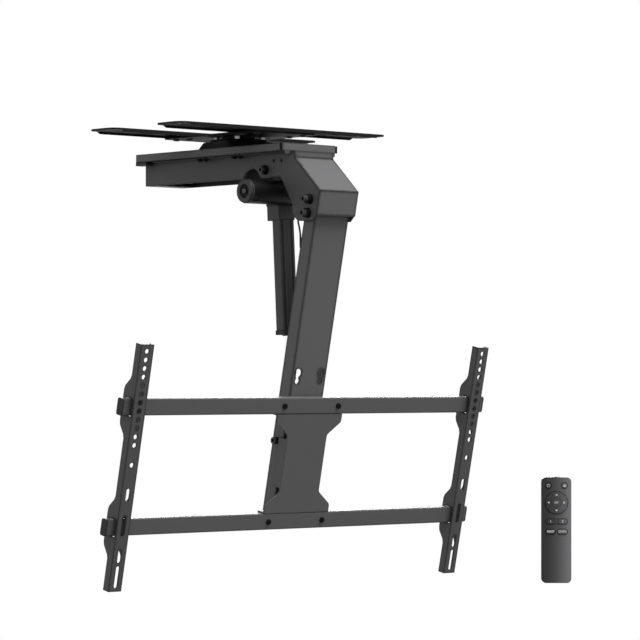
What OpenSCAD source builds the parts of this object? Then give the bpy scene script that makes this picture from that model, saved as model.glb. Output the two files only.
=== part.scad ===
// Motorized ceiling mount for a flat screen, with its hand remote.
// Millimetres. The origin is on the swivel axis in the ceiling plane: +Z up, X along the
// screen's width, -Y towards the screen's face. The arm is modelled in its lowered position.

/* [Ceiling frame] */
// Length of a ceiling rail
rail_length = 498; // [440:2:560]
// Width of a ceiling rail
rail_w = 76; // [66:1:86]
// Distance between the centre lines of the two rails
rail_pitch = 194; // [180:1:230]
// Sheet thickness of the rails and of the cross plate
rail_sheet = 3; // [2:0.5:4]
// Height of a rail over its folded lips
rail_h = 7; // [6:0.5:10]
// Radius of the rails' corners
rail_corner_r = 18; // [8:1:26]
// Spacing of the lag slots along a rail
stud_pitch = 406; // [380:1:412]
// Width of a lag slot
lag_slot_w = 10; // [8:0.5:12]
// Length of a lag slot, end to end
lag_slot_length = 26; // [16:1:34]
// Length of the cross plate along the rails
cross_plate_length = 150; // [140:1:200]
// Diameter of the bolts that hold the cross plate to the rails
rail_bolt_d = 8; // [6:1:8]

/* [Swivel] */
// Radius of the bearing plate on top of the dish
disc_r = 53; // [50:0.5:60]
// Thickness of the bearing plate
disc_t = 3; // [2:0.5:4]
// Radius of the hub between the cross plate and the bearing plate
hub_r = 29; // [24:0.5:32]
// Height of the hub and of the four posts around it
hub_h = 5.5; // [5:0.5:12]
// Radius of the circle that the four posts stand on
post_circle_r = 42.5; // [41:0.5:44]
// Diameter of a post
post_d = 10; // [8:0.5:11]
// Thickness of the glide ring
glide_t = 1.5; // [1:0.25:3]
// Diameter of the swivel bolt
swivel_bolt_d = 16; // [12:1:20]
// Height of the dish
dish_h = 13; // [12:0.5:18]
// Width of the dish at its foot
dish_w = 124; // [118:1:126]
// Length of the dish at its foot
dish_length = 120; // [118:1:140]
// Distance that the dish narrows to each side, from its foot to its top
dish_taper = 7; // [2:0.5:9]
// Swivel to each side, in degrees
swivel_stop = 30; // [10:1:30]

/* [Top cover] */
// Distance that the top cover stands out beyond the housing at each side
cover_ledge = 20; // [17:0.5:24]
// Height of the top cover's rim
cover_h = 14; // [12:0.5:20]
// Sheet thickness of the top cover
cover_sheet = 2.5; // [2:0.25:3]
// Radius of the top cover's corners
cover_corner_r = 9; // [4:0.5:14]
// Distance from the swivel axis to the front of the top cover
cover_front = 198; // [190:1:204]
// Distance that the top cover reaches back beyond the housing
cover_overhang = 10; // [0:1:16]

/* [Housing] */
// Distance from the swivel axis to the rear of the housing
housing_rear = 220; // [200:1:260]
// Width over the housing's two cheeks
housing_w = 92; // [90:1:96]
// Depth of the housing below the top cover
housing_h = 45; // [44:0.5:52]
// Sheet thickness of the housing
housing_sheet = 2.5; // [2:0.25:3]
// Distance from the swivel axis to the top of the sloping front
brow_front = 210; // [206:1:216]
// Height of the upright band above the sloping front
brow_h = 12; // [8:0.5:14]
// Length that the sloping front runs forward
slope_run = 68; // [60:1:76]
// Height that the sloping front drops
slope_drop = 62; // [56:1:68]
// Length of the lower front face, which is parallel to the lowered arm
chin_length = 45; // [40:0.5:50]
// Sheet thickness of the bent front cover
front_sheet = 2; // [1.5:0.25:2.5]
// Width of the slanted ledge between the bottom edge and the ear
throat_run = 32; // [24:1:40]
// Radius of the ear's lower rear corner
ear_r = 25; // [18:0.5:30]
// Diameter of the two small screws at the front of each cheek
cheek_screw_d = 5; // [4:0.5:6]

/* [Arm] */
// Lean of the lowered arm from upright, in degrees
arm_lean = 12.3; // [8:0.1:16]
// Distance of the arm's pivot in front of the swivel axis
pivot_front = 244.5; // [240:0.5:248]
// Depth of the arm's pivot below the top cover
pivot_drop = 113; // [110:1:118]
// Length of the arm from its pivot to its lower end
arm_length = 574; // [570:1:600]
// Thickness of the washers between the arm and the housing's cheeks
washer_t = 3.75; // [2.5:0.25:6]
// Depth of the arm
arm_d = 29; // [28:1:32]
// Sheet thickness of the arm
arm_sheet = 3; // [2:0.5:3.5]
// Width of the lips along the arm's open rear
arm_lip = 7; // [5:0.5:8]
// Diameter of the three bolts across the housing
cross_bolt_d = 10; // [8:0.5:11]
// Distance of the stop bolt above the pivot bolt
stop_rise = 25; // [24:0.5:27]
// Distance from the arm's pivot down to the upper pair of keyholes
keyhole_drop = 289; // [270:1:295]
// Distance between the two keyholes of a pair
keyhole_pitch = 54; // [50:1:58]
// Diameter of a keyhole's large end
keyhole_d = 16; // [13:0.5:17]
// Diameter of a keyhole's small end
keyhole_neck_d = 10.5; // [8:0.25:11]

/* [Actuator] */
// Distance of the actuator's upper pin in front of the swivel axis
top_pin_front = 128; // [126:0.5:130]
// Depth of the actuator's upper pin below the top cover
top_pin_drop = 31; // [30:0.5:33]
// Distance from the arm's pivot down to the rod's pin
rod_pin_reach = 416; // [414:1:418]
// Sideways offset of the actuator from the arm's middle
act_offset = 8; // [0:0.5:9]
// Width of the actuator's outer tube, along X
tube_w = 34; // [26:1:35]
// Depth of the actuator's outer tube
tube_d = 24; // [20:0.5:25]
// Distance from the upper pin to the lower end of the tube
tube_end = 290; // [284:1:292]
// Wall of the outer tube
tube_wall = 2; // [1.5:0.25:2.5]
// Diameter of the actuator's rod
rod_d = 12; // [10:0.5:13]
// Diameter of the motor
motor_d = 44; // [40:1:45]
// Length of the motor from the gearbox to its end
motor_length = 79; // [70:1:84]
// Distance of the motor's axis below the upper pin
motor_drop = 41.5; // [40:0.5:44]
// Distance of the motor's axis in front of the screw
motor_ahead = 9.5; // [8:0.5:11]
// Diameter of the shoulder bolts at the rod's eye
pin_d = 10; // [8:0.5:10]

/* [Screen frame] */
// Length of a cross bar, without its end caps
bar_length = 856; // [820:2:880]
// Height of a cross bar
bar_h = 30; // [26:1:32]
// Depth of a cross bar
bar_d = 15; // [13:0.5:16]
// Wall of a cross bar
bar_wall = 1.5; // [1:0.25:2]
// Distance from the arm's pivot down to the upper bar
bar_drop = 345.5; // [344:0.5:352]
// Distance between the two bars
bar_pitch = 213; // [206:1:216]
// Thickness of a bar's end cap outside the bar
bar_cap_t = 3; // [2:0.5:5]
// Distance between the two screws that hold a bar
bar_screw_pitch = 128; // [120:1:134]
// Width of the centre plate's upper and lower ends
plate_w = 154; // [146:1:160]
// Width of the centre plate's waist
waist_w = 94; // [86:1:98]
// Sheet thickness of the centre plate
plate_sheet = 2.5; // [2:0.25:2.75]

/* [Screen brackets] */
// Distance from the end of a bar to the middle of the bracket near it
bracket_inset = 27.5; // [22:0.5:60]
// Length of a bracket
bracket_length = 437; // [436:1:450]
// Width of a bracket
bracket_w = 28; // [26:1:32]
// Depth of a bracket's left flange at its ends
bracket_d = 15.5; // [13:0.5:18]
// Depth of a bracket's right flange at its ends
right_flange_d = 11; // [9:0.5:16]
// Depth of a bracket's flanges where they hold the bars
lobe_d = 31.5; // [30:0.5:34]
// Sheet thickness of a bracket
bracket_sheet = 2; // [1.5:0.25:2.5]
// Distance of a bracket's face in front of the bars
bracket_stand = 9; // [7:0.5:11]
// Spacing of the holes in a bracket
hole_pitch = 15; // [14:0.5:16]
// Diameter of the holes in a bracket
hole_d = 8.5; // [6.5:0.25:9]
// Distance from the top hole to the round hole for a 200 mm screen pattern
pattern_hole_drop = 200; // [196:1:204]
// Distance that each bracket can slide inwards
bracket_travel = 290; // [100:5:300]

/* [Remote] */
// Width of the remote
remote_w = 53.5; // [46:0.5:60]
// Height of the remote
remote_h = 190.5; // [165:0.5:205]
// Thickness of the remote
remote_t = 18; // [15:0.5:22]
// Radius of the remote's corners
remote_corner_r = 8; // [5:0.5:11]
// Height that the buttons stand out
button_rise = 1; // [0.8:0.1:1.5]
// Travel of a button
button_travel = 0.6; // [0.4:0.1:0.8]
// Outer diameter of the direction ring
ring_d = 40; // [28:1:42]
// Diameter of the middle button
middle_d = 17.5; // [10:0.5:18]
// Distance from the swivel axis to the remote, to the right
remote_right = 345; // [300:1:380]
// Distance from the swivel axis to the remote, towards the front
remote_front = 479; // [420:1:500]
// Depth of the remote's middle below the ceiling
remote_drop = 728.5; // [600:0.5:760]
// Turn of the remote about its upright axis, in degrees
remote_turn = -41.5; // [-60:0.5:0]

/* [Hidden] */
$fn = 48;

// Small clearances
eps = 0.5;
slide_gap = 0.3;
seat_gap = 0.2;
run_gap = 0.05;

// Widths that follow from others
cover_w = housing_w + 2 * cover_ledge;
arm_w = housing_w - 2 * housing_sheet - 2 * washer_t;
bracket_pitch = bar_length - 2 * bracket_inset;

// Heights of the layers below the ceiling
cross_z = -rail_h - rail_sheet;
disc_z = cross_z - hub_h - disc_t;
dish_z = disc_z - glide_t;
cover_z = dish_z - dish_h;
housing_z = cover_z - cover_h;
housing_bottom_z = housing_z - housing_h;
pivot_z = cover_z - pivot_drop - cover_h;
top_pin_z = cover_z - top_pin_drop - cover_h;

// Places of the joints in the YZ plane
pivot = [-pivot_front, pivot_z];
top_pin = [-top_pin_front, top_pin_z];
arm_down = [sin(arm_lean), -cos(arm_lean)];
rod_pin = pivot + rod_pin_reach * arm_down;
rod_pin_up = pivot + [rod_pin_reach, 0];
fold_angle = 90 - arm_lean;
act_length = norm(rod_pin - top_pin);
act_length_up = norm(rod_pin_up - top_pin);
act_lean = atan2(rod_pin[0] - top_pin[0], top_pin[1] - rod_pin[1]);
act_lean_up = atan2(rod_pin_up[0] - top_pin[0], top_pin[1] - rod_pin_up[1]);
act_turn = act_lean_up - act_lean;
stroke = act_length - act_length_up;
echo(fold_angle = fold_angle, act_turn = act_turn, stroke = stroke);
echo(pivot = pivot, top_pin = top_pin, rod_pin = rod_pin);

// Where the motor lies with the arm raised, which sets the notch in the cheeks
function turned(p, a) = [p[0] * cos(a) - p[1] * sin(a), p[0] * sin(a) + p[1] * cos(a)];
motor_low = turned([-motor_ahead, -motor_drop], act_lean);
motor_high = top_pin + turned(motor_low, act_turn);
motor_gap = 2.5;

// Points of an arc in a plane
function arc(centre, radius, from, to, steps) = [for (i = [0:steps])
    let (a = from + (to - from) * i / steps) centre + radius * [cos(a), sin(a)]];

// Point where two lines, each shifted sideways by t, meet at b
function mitre(a, b, c, t) =
    let (u = (b - a) / norm(b - a), v = (c - b) / norm(c - b), m = [-u[1] - v[1], u[0] + v[0]])
    b + m * t / (1 + u * v);
function square_off(a, b, t) = let (u = (b - a) / norm(b - a)) [-u[1], u[0]] * t;
function shifted(path, t) = let (n = len(path) - 1) [for (i = [0:n])
    i == 0 ? path[0] + square_off(path[0], path[1], t)
    : i == n ? path[n] + square_off(path[n - 1], path[n], t)
    : mitre(path[i - 1], path[i], path[i + 1], t)];

// A flat outline with round corners
module round_rect(w, h, r) {
    square([w - 2 * r, h], center = true);
    square([w, h - 2 * r], center = true);
    for (x = [-1, 1], y = [-1, 1]) translate([x * (w / 2 - r), y * (h / 2 - r)]) circle(r);
}

// A slot along X, round at both ends
module slot(length, w) {
    square([length - w, w], center = true);
    for (x = [-1, 1]) translate([x * (length - w) / 2, 0]) circle(d = w);
}

// Stretches an outline in the YZ plane along X, centred on x
module along_x(length, x = 0) {
    translate([x - length / 2, 0, 0]) rotate([90, 0, 90]) linear_extrude(length) children();
}

// A round bar along X between two places
module bar_x(d, x0, x1) {
    translate([x0, 0, 0]) rotate([0, 90, 0]) cylinder(d = d, h = x1 - x0);
}

// A hexagonal bar along X between two places, d across its flats
module hex_x(d, x0, x1) {
    translate([x0, 0, 0]) rotate([0, 90, 0]) cylinder(d = d / cos(30), h = x1 - x0, $fn = 6);
}

// A hexagonal nut or socket along Z, d across its flats
module hex_z(d, h) {
    cylinder(d = d / cos(30), h = h, $fn = 6);
}

// Frames of the moving parts: the arm's own upright runs up along it, its -Y faces the screen
module at_pivot() {
    translate([0, pivot[0], pivot[1]]) rotate([arm_lean, 0, 0]) children();
}

module at_top_pin() {
    translate([-act_offset, top_pin[0], top_pin[1]]) rotate([act_lean, 0, 0]) children();
}

rail_tongue = 22;
rail_hole_share = 0.665;
rail_hole_length = 18;

module rail_slots() {
    for (x = [-1, 1]) {
        translate([x * stud_pitch / 2, 0]) slot(lag_slot_length, lag_slot_w);
        translate([x * stud_pitch / 2 * rail_hole_share, rail_w / 4])
            slot(rail_hole_length, lag_slot_w);
        translate([x * stud_pitch / 2 * rail_hole_share, -rail_w / 4])
            slot(rail_hole_length, lag_slot_w);
    }
}

// A rail: a flat top with two folded lips that run out before its round tongues
module ceiling_rail(y) {
    lip = rail_length / 2 - rail_tongue;
    color([0.15, 0.15, 0.16]) translate([0, y, 0]) {
        translate([0, 0, -rail_sheet]) linear_extrude(rail_sheet) difference() {
            round_rect(rail_length, rail_w, rail_corner_r);
            rail_slots();
            for (p = rail_bolt_places()) translate(p) circle(d = rail_bolt_d);
        }
        for (s = [-1, 1]) translate([0, s * (rail_w - rail_sheet) / 2 + rail_sheet / 2, 0])
            rotate([90, 0, 0]) linear_extrude(rail_sheet) polygon([[-lip, -rail_sheet],
                [-lip + rail_h, -rail_h], [lip - rail_h, -rail_h], [lip, -rail_sheet]]);
    }
}

function rail_bolt_places() = [for (x = [-1, 1], y = [-1, 1])
    [x * (cross_plate_length / 2 - 2.5 * rail_bolt_d), y * rail_w / 4]];

module ceiling_rail_front() { ceiling_rail(-rail_pitch / 2); }

module ceiling_rail_rear() { ceiling_rail(rail_pitch / 2); }

// The plate under both rails that carries the swivel
module cross_plate() {
    color([0.13, 0.13, 0.14]) translate([0, 0, cross_z]) linear_extrude(rail_sheet) difference() {
        round_rect(cross_plate_length, rail_pitch + rail_w - 2 * rail_sheet, rail_corner_r / 2);
        circle(d = swivel_bolt_d);
        for (a = [45:90:315]) rotate(a) translate([post_circle_r, 0]) circle(d = post_hole_d);
        for (s = [-1, 1], p = rail_bolt_places())
            translate([p[0], p[1] + s * rail_pitch / 2]) circle(d = rail_bolt_d);
        for (x = [-1, 1]) translate([x * cross_plate_length * 0.37, 0])
            rotate(90) slot(rail_pitch / 4, lag_slot_w);
    }
}

// Bolts from below with their nuts in the hollow of the rails
module rail_bolts() {
    head_h = rail_bolt_d * 0.6;
    nut_h = rail_h - rail_sheet;
    color([0.1, 0.1, 0.1]) for (s = [-1, 1], p = rail_bolt_places())
        translate([p[0], p[1] + s * rail_pitch / 2, cross_z]) {
            cylinder(d = rail_bolt_d, h = -cross_z - seat_gap);
            translate([0, 0, -head_h]) hex_z(rail_bolt_d * 1.6, head_h);
            translate([0, 0, rail_sheet]) hex_z(rail_bolt_d * 1.6, nut_h);
        }
}

post_hole_d = post_d * 0.6;
stop_peg_d = post_hole_d;
stop_slot_r = post_circle_r + 3.5 * run_gap + post_d / 3;

module swivel_hub() {
    color([0.16, 0.16, 0.17]) translate([0, 0, cross_z - hub_h]) linear_extrude(hub_h)
        difference() {
            circle(hub_r);
            circle(d = swivel_bolt_d);
        }
}

module at_posts() {
    for (a = [45:90:315]) rotate(a) translate([post_circle_r, 0, 0]) children();
}

module post_spacers() {
    color([0.75, 0.76, 0.78]) translate([0, 0, cross_z - hub_h]) at_posts()
        linear_extrude(hub_h) difference() {
            circle(d = post_d);
            circle(d = post_hole_d);
        }
}

// Bolts down through the cross plate and the posts into the bearing plate
module post_bolts() {
    head_h = rail_h * 0.45;
    color([0.72, 0.73, 0.75]) at_posts() {
        translate([0, 0, disc_z]) cylinder(d = post_hole_d, h = cross_z + rail_sheet - disc_z);
        translate([0, 0, cross_z + rail_sheet]) difference() {
            cylinder(d = post_hole_d * 1.8, h = head_h);
            translate([0, 0, head_h / 2]) hex_z(post_hole_d * 0.6, head_h);
        }
    }
}

// The plate that turns on the dish, with the arc slot that the stop peg runs in
module bearing_plate() {
    slot_w = stop_peg_d + 2 * slide_gap;
    color([0.15, 0.15, 0.16]) translate([0, 0, disc_z]) difference() {
        cylinder(r = disc_r, h = disc_t);
        translate([0, 0, -eps]) {
            cylinder(d = swivel_bolt_d, h = disc_t + 2 * eps);
            at_posts() cylinder(d = post_hole_d, h = disc_t + 2 * eps);
            rotate(90 - swivel_stop) rotate_extrude(angle = 2 * swivel_stop)
                translate([stop_slot_r - slot_w / 2, 0]) square([slot_w, disc_t + 2 * eps]);
            for (a = [90 - swivel_stop, 90 + swivel_stop]) rotate(a)
                translate([stop_slot_r, 0, 0]) cylinder(d = slot_w, h = disc_t + 2 * eps);
        }
    }
}

bolt_head_h = rail_h - rail_sheet - seat_gap;
flange_t = 2;

module swivel_bolt() {
    color([0.12, 0.12, 0.12]) {
        translate([0, 0, cross_z + rail_sheet]) cylinder(d = swivel_bolt_d * 1.8, h = bolt_head_h);
        translate([0, 0, cover_z + eps])
            cylinder(d = swivel_bolt_d, h = cross_z + rail_sheet - cover_z - eps);
    }
}

// Flange nut under the dish
module swivel_nut() {
    top = dish_z - cover_sheet;
    color([0.5, 0.5, 0.52]) difference() {
        union() {
            translate([0, 0, top - flange_t]) cylinder(d = swivel_bolt_d * 2.1, h = flange_t);
            translate([0, 0, cover_z + 2 * eps])
                hex_z(swivel_bolt_d * 1.5, top - cover_z - 2 * eps);
        }
        translate([0, 0, cover_z]) cylinder(d = swivel_bolt_d, h = dish_h);
    }
}

module glide_ring() {
    color([0.85, 0.85, 0.8]) translate([0, 0, disc_z - glide_t]) linear_extrude(glide_t)
        difference() {
            circle(stop_slot_r - stop_peg_d);
            circle(d = swivel_bolt_d + 2 * slide_gap);
        }
}

// A block with round corners that narrows upwards, shrunk by the wall for its hollow
dish_r = 25;
module dish_block(shrink, top) {
    foot = [dish_w - 2 * shrink, dish_length - 2 * shrink];
    hull() {
        translate([0, 0, cover_z - shrink]) linear_extrude(eps)
            round_rect(foot[0], foot[1], dish_r - shrink);
        translate([0, 0, top - eps]) linear_extrude(eps)
            round_rect(foot[0] - 2 * dish_taper, foot[1] - 2 * dish_taper, dish_r - shrink);
    }
}

// The pressed dish on the top cover that the bearing plate rides on
module swivel_dish() {
    color([0.06, 0.06, 0.065]) difference() {
        dish_block(0, dish_z);
        dish_block(cover_sheet, dish_z - cover_sheet);
        translate([0, 0, cover_z]) cylinder(d = swivel_bolt_d + 2 * run_gap, h = dish_h + eps);
        translate([0, stop_slot_r, cover_z]) cylinder(d = stop_peg_d, h = dish_h + eps);
    }
}

module stop_peg() {
    color([0.5, 0.5, 0.52]) translate([0, stop_slot_r, dish_z - cover_sheet])
        cylinder(d = stop_peg_d, h = cover_sheet + glide_t + disc_t);
}

cover_rear = housing_rear + cover_overhang;
cover_length = cover_front + cover_rear;
cover_y = (cover_rear - cover_front) / 2;
stud_d = 6;
stud_pair_pitch = 17;
stud_x = (cover_w / 2 + housing_w / 2) / 2;
stud_ys = [for (m = [housing_rear * 0.17, -cover_front * 0.31], s = [-1, 1])
    m + s * stud_pair_pitch / 2];

module top_cover() {
    color([0.24, 0.24, 0.25]) translate([0, cover_y, housing_z]) difference() {
        linear_extrude(cover_h) round_rect(cover_w, cover_length, cover_corner_r);
        translate([0, 0, -eps]) linear_extrude(cover_h - cover_sheet + eps)
            round_rect(cover_w - 2 * cover_sheet, cover_length - 2 * cover_sheet,
                cover_corner_r - cover_sheet);
    }
}

// Outer line of the bent front cover, from the top cover down
chin_lean = [sin(arm_lean), -cos(arm_lean)];
brow = [-brow_front, housing_z - brow_h];
knee = brow + [-slope_run, -slope_drop];
chin = knee + chin_length * chin_lean;
front_line = [[-brow_front, housing_z - seat_gap], brow, knee, chin];
front_inner = shifted(front_line, front_sheet);

// Outline of a cheek: bottom edge, throat, ear, then up the inside of the front cover
ear_bottom_z = chin[1] - ear_r * 0.36;
ear_centre = [pivot[0] + ear_r * 0.72, ear_bottom_z + ear_r];
cheek_points = concat(
    [[housing_rear, housing_z], [housing_rear, housing_bottom_z],
        [ear_centre[0] + ear_r + throat_run, housing_bottom_z]],
    arc(ear_centre, ear_r, 15, -90, 8),
    [[pivot[0] - ear_r / 2, ear_bottom_z]],
    [front_inner[3], front_inner[2], front_inner[1], [front_inner[0][0], housing_z]]);
cheek_x = housing_w / 2 - housing_sheet;
stop = pivot - stop_rise * arm_down;
cross_bolt_places = [pivot, stop, top_pin];
screw_spots = [for (k = [0, 1]) [brow[0] + slope_run * (0.55 + 0.3 * k), housing_z - brow_h * 1.3]];

module cheek() {
    difference() {
        polygon(cheek_points);
        for (p = cross_bolt_places) translate(p) circle(d = cross_bolt_d);
        translate(motor_high) circle(d = motor_d + 2 * motor_gap);
        for (p = screw_spots) translate(p) circle(d = cheek_screw_d);
    }
}

// The folded housing: flanged roof with a lip at its front, two cheeks with ears, a rear wall
roof_w = cover_w * 0.91;
roof_lip_h = brow_h / 2;
module housing_shell() {
    roof_front = cover_front;
    roof_length = roof_front + housing_rear - cover_corner_r * 4;
    side_w = (roof_w - housing_w) / 2;
    inlet_z = housing_z - housing_h / 2;
    color([0.24, 0.24, 0.25]) difference() {
        union() {
            for (s = [-1, 1]) along_x(housing_sheet, s * (housing_w - housing_sheet) / 2) cheek();
            translate([0, -roof_front + roof_length / 2, housing_z - housing_sheet / 2])
                cube([roof_w, roof_length, housing_sheet], center = true);
            for (s = [-1, 1]) translate([s * (housing_w + side_w) / 2,
                -roof_front + housing_sheet / 2, housing_z - roof_lip_h / 2])
                cube([side_w, housing_sheet, roof_lip_h], center = true);
            translate([0, (housing_rear - roof_front) / 2, housing_z - housing_sheet / 2])
                cube([housing_w, housing_rear + roof_front, housing_sheet], center = true);
            translate([-housing_w / 2, housing_rear - housing_sheet, housing_bottom_z])
                cube([housing_w, housing_sheet, housing_h]);
        }
        for (s = [-1, 1], y = stud_ys) translate([s * stud_x, y, housing_z - cover_h / 2])
            cylinder(d = stud_d, h = cover_h);
        translate([housing_w / 4, housing_rear + eps, inlet_z]) rotate([90, 0, 0])
            cylinder(d = inlet_d, h = housing_sheet + 2 * eps);
    }
}

// The bent front cover, with a tab inside each cheek that the small screws go into
module front_cover() {
    tab = front_sheet;
    color([0.3, 0.3, 0.31]) {
        along_x(housing_w) polygon([front_line[0], brow, knee, chin,
            front_inner[3], front_inner[2], front_inner[1], front_inner[0]]);
        for (s = [-1, 1]) along_x(tab, s * (cheek_x - tab / 2)) difference() {
            polygon([front_inner[1] + [0, -tab / 2], front_inner[0] + [0, -housing_sheet],
                [screw_spots[1][0] + cheek_screw_d * 1.5, housing_z - housing_sheet - seat_gap],
                [screw_spots[1][0] + cheek_screw_d * 1.5, screw_spots[1][1] - cheek_screw_d * 2],
                [screw_spots[0][0] - cheek_screw_d, screw_spots[1][1] - cheek_screw_d * 2],
                front_inner[1] + (front_inner[2] - front_inner[1]) * 0.25]);
            for (p = screw_spots) translate(p) circle(d = cheek_screw_d);
        }
    }
}

// The short plate that closes the rear of the housing from below; the rest is open
module bottom_cover() {
    w = 2 * cheek_x - 2 * seat_gap;
    length = housing_rear * 0.14;
    fold = housing_h / 4;
    color([0.2, 0.2, 0.21])
        translate([0, housing_rear - housing_sheet - seat_gap - length / 2, housing_bottom_z])
            difference() {
                translate([-w / 2, -length / 2, 0]) cube([w, length, fold]);
                translate([-w / 2 + housing_sheet, -length / 2 - eps, housing_sheet])
                    cube([w - 2 * housing_sheet, length + 2 * eps, fold]);
            }
}

pad_length = cover_corner_r * 3.4;

module corner_pads() {
    w = (cover_w - housing_w) / 2 - cover_sheet;
    pad_h = cover_h * 0.5;
    color([0.05, 0.05, 0.05]) for (s = [-1, 1])
        translate([s * (housing_w / 2 + seat_gap + w / 2), cover_rear - pad_length / 2 - cover_sheet,
            housing_z]) {
            translate([0, 0, -pad_h / 2]) cube([w, pad_length, pad_h], center = true);
            cylinder(d = w * 0.7, h = cover_h - cover_sheet);
        }
}

// Welded studs under the top cover with the nuts that hold the housing's flanges
module flange_bolts() {
    nut_h = stud_d * 0.7;
    color([0.08, 0.08, 0.08]) for (s = [-1, 1], y = stud_ys)
        translate([s * stud_x, y, housing_z - housing_sheet - nut_h]) {
            hex_z(stud_d * 1.6, nut_h);
            translate([0, 0, -stud_d / 5])
                cylinder(d = stud_d, h = nut_h + housing_sheet + cover_h - cover_sheet + stud_d / 5);
        }
}

module cheek_screws() {
    color([0.05, 0.05, 0.05]) for (s = [-1, 1], p = screw_spots) translate([0, p[0], p[1]])
        scale([s, 1, 1]) difference() {
            bar_x(cheek_screw_d, cheek_x - front_sheet * 1.5, housing_w / 2);
            hex_x(cheek_screw_d / 2, housing_w / 2 - front_sheet, housing_w / 2 + eps);
        }
}

// Bolts across the housing, each with a boss, a socket head and a nut: the arm's pivot, the
// stop above it and the actuator's upper pin
module cross_bolts() {
    half = housing_w / 2;
    d = cross_bolt_d;
    color([0.08, 0.08, 0.08]) for (p = cross_bolt_places) translate([0, p[0], p[1]]) difference() {
        union() {
            bar_x(d, -half - boss_stand, half + boss_stand * 0.7);
            bar_x(d * 1.55, -half - boss_stand * 0.55, -half);
            bar_x(d * 1.25, -half - boss_stand, -half - boss_stand * 0.55);
            hex_x(d * 1.55, half, half + boss_stand * 0.6);
        }
        hex_x(d * 0.6, -half - boss_stand - eps, -half - boss_stand * 0.45);
    }
}

boss_stand = 12;

module pivot_washers() {
    half = (washer_t - seat_gap) / 2;
    color([0.8, 0.8, 0.76]) translate([0, pivot[0], pivot[1]]) for (s = [-1, 1])
        translate([s * (arm_w + washer_t) / 2, 0, 0]) difference() {
            bar_x(arm_d * 0.8, -half, half);
            bar_x(cross_bolt_d + 2 * run_gap, -washer_t, washer_t);
        }
}

module stop_sleeve() {
    color([0.35, 0.35, 0.36]) translate([0, stop[0], stop[1]]) difference() {
        bar_x(cross_bolt_d * 1.5, -cheek_x, cheek_x);
        bar_x(cross_bolt_d, -cheek_x - eps, cheek_x + eps);
    }
}

// Spacers on the upper pin that keep the actuator in place between the cheeks
lug_w = tube_w * 0.6;
module actuator_bushes() {
    color([0.35, 0.35, 0.36]) translate([0, top_pin[0], top_pin[1]]) difference() {
        union() {
            bar_x(cross_bolt_d * 1.7, -cheek_x, -act_offset - lug_w / 2 - run_gap);
            bar_x(cross_bolt_d * 1.7, -act_offset + lug_w / 2 + run_gap, cheek_x);
        }
        bar_x(cross_bolt_d, -housing_w, housing_w);
    }
}

// The control box under the housing's roof, behind the actuator
case_w = housing_w * 0.62;
case_length = housing_rear * 0.5;
case_y = housing_rear - case_length / 2 - housing_h / 2;
case_h = housing_h * 0.5;
case_wall = 2;
module controller_case() {
    color([0.1, 0.1, 0.11]) translate([0, case_y, housing_z - housing_sheet]) difference() {
        translate([0, 0, -case_h]) linear_extrude(case_h) round_rect(case_w, case_length, 4 * case_wall);
        translate([0, 0, -case_h + case_wall]) linear_extrude(case_h)
            round_rect(case_w - 2 * case_wall, case_length - 2 * case_wall, 3 * case_wall);
        translate([0, -case_length / 2 + case_wall / 2, -case_h / 2])
            cube([case_w / 3, 2 * case_wall, case_h / 3], center = true);
    }
}

module controller_board() {
    board_t = case_wall * 0.8;
    w = case_w - 4 * case_wall;
    length = case_length - 4 * case_wall;
    color([0.1, 0.35, 0.2]) translate([0, case_y, housing_z - housing_sheet - case_h]) {
        translate([0, 0, 3 * case_wall]) linear_extrude(board_t)
            round_rect(w, length, 2 * case_wall);
        for (x = [-1, 1], y = [-1, 1]) translate([x * w * 0.38, y * length * 0.4, case_wall])
            cylinder(d = 3 * case_wall, h = 2 * case_wall);
        translate([-w / 4, -length / 4, 3 * case_wall + board_t])
            cube([w / 3, length / 3, case_h / 4]);
    }
}

inlet_d = 11;
module power_inlet() {
    color([0.06, 0.06, 0.06])
        translate([housing_w / 4, housing_rear, housing_z - housing_h / 2]) rotate([90, 0, 0])
            difference() {
                union() {
                    cylinder(d = inlet_d, h = inlet_d * 1.4);
                    translate([0, 0, -cover_sheet / 2]) cylinder(d = inlet_d * 1.5, h = cover_sheet / 2);
                }
                translate([0, 0, -cover_sheet]) cylinder(d = inlet_d / 2, h = inlet_d);
            }
}

// The actuator is drawn in the frame of its upper pin: -Z runs down its screw

collar_top = motor_drop + motor_d / 2 + slide_gap;
collar_h = 26;
collar_back = 11;
collar_w = tube_w + 4;
gearbox_w = collar_w;

module motor_can() {
    x0 = -gearbox_w / 2 - motor_length;
    color([0.05, 0.05, 0.055]) at_top_pin() translate([0, -motor_ahead, -motor_drop])
        difference() {
            bar_x(motor_d, x0 + bell_t, -gearbox_w / 2);
            for (a = [0:90:270]) rotate([a + 45, 0, 0])
                translate([x0 + bell_t * 1.5, 0, motor_d / 2])
                    cube([motor_length / 4, motor_d / 5, 2 * rim_t], center = true);
        }
}

bell_t = 7;
module motor_end_bell() {
    x0 = -gearbox_w / 2 - motor_length;
    color([0.2, 0.2, 0.21]) at_top_pin() translate([0, -motor_ahead, -motor_drop]) {
        difference() {
            union() {
                bar_x(motor_d * 0.94, x0, x0 + bell_t / 2);
                bar_x(motor_d, x0 + bell_t / 2, x0 + bell_t);
            }
            bar_x(motor_d * 0.56, x0 - eps, x0 + bell_t * 0.6);
        }
        bar_x(motor_d * 0.2, x0 + bell_t * 0.2, x0 + bell_t * 0.7);
    }
}

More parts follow.
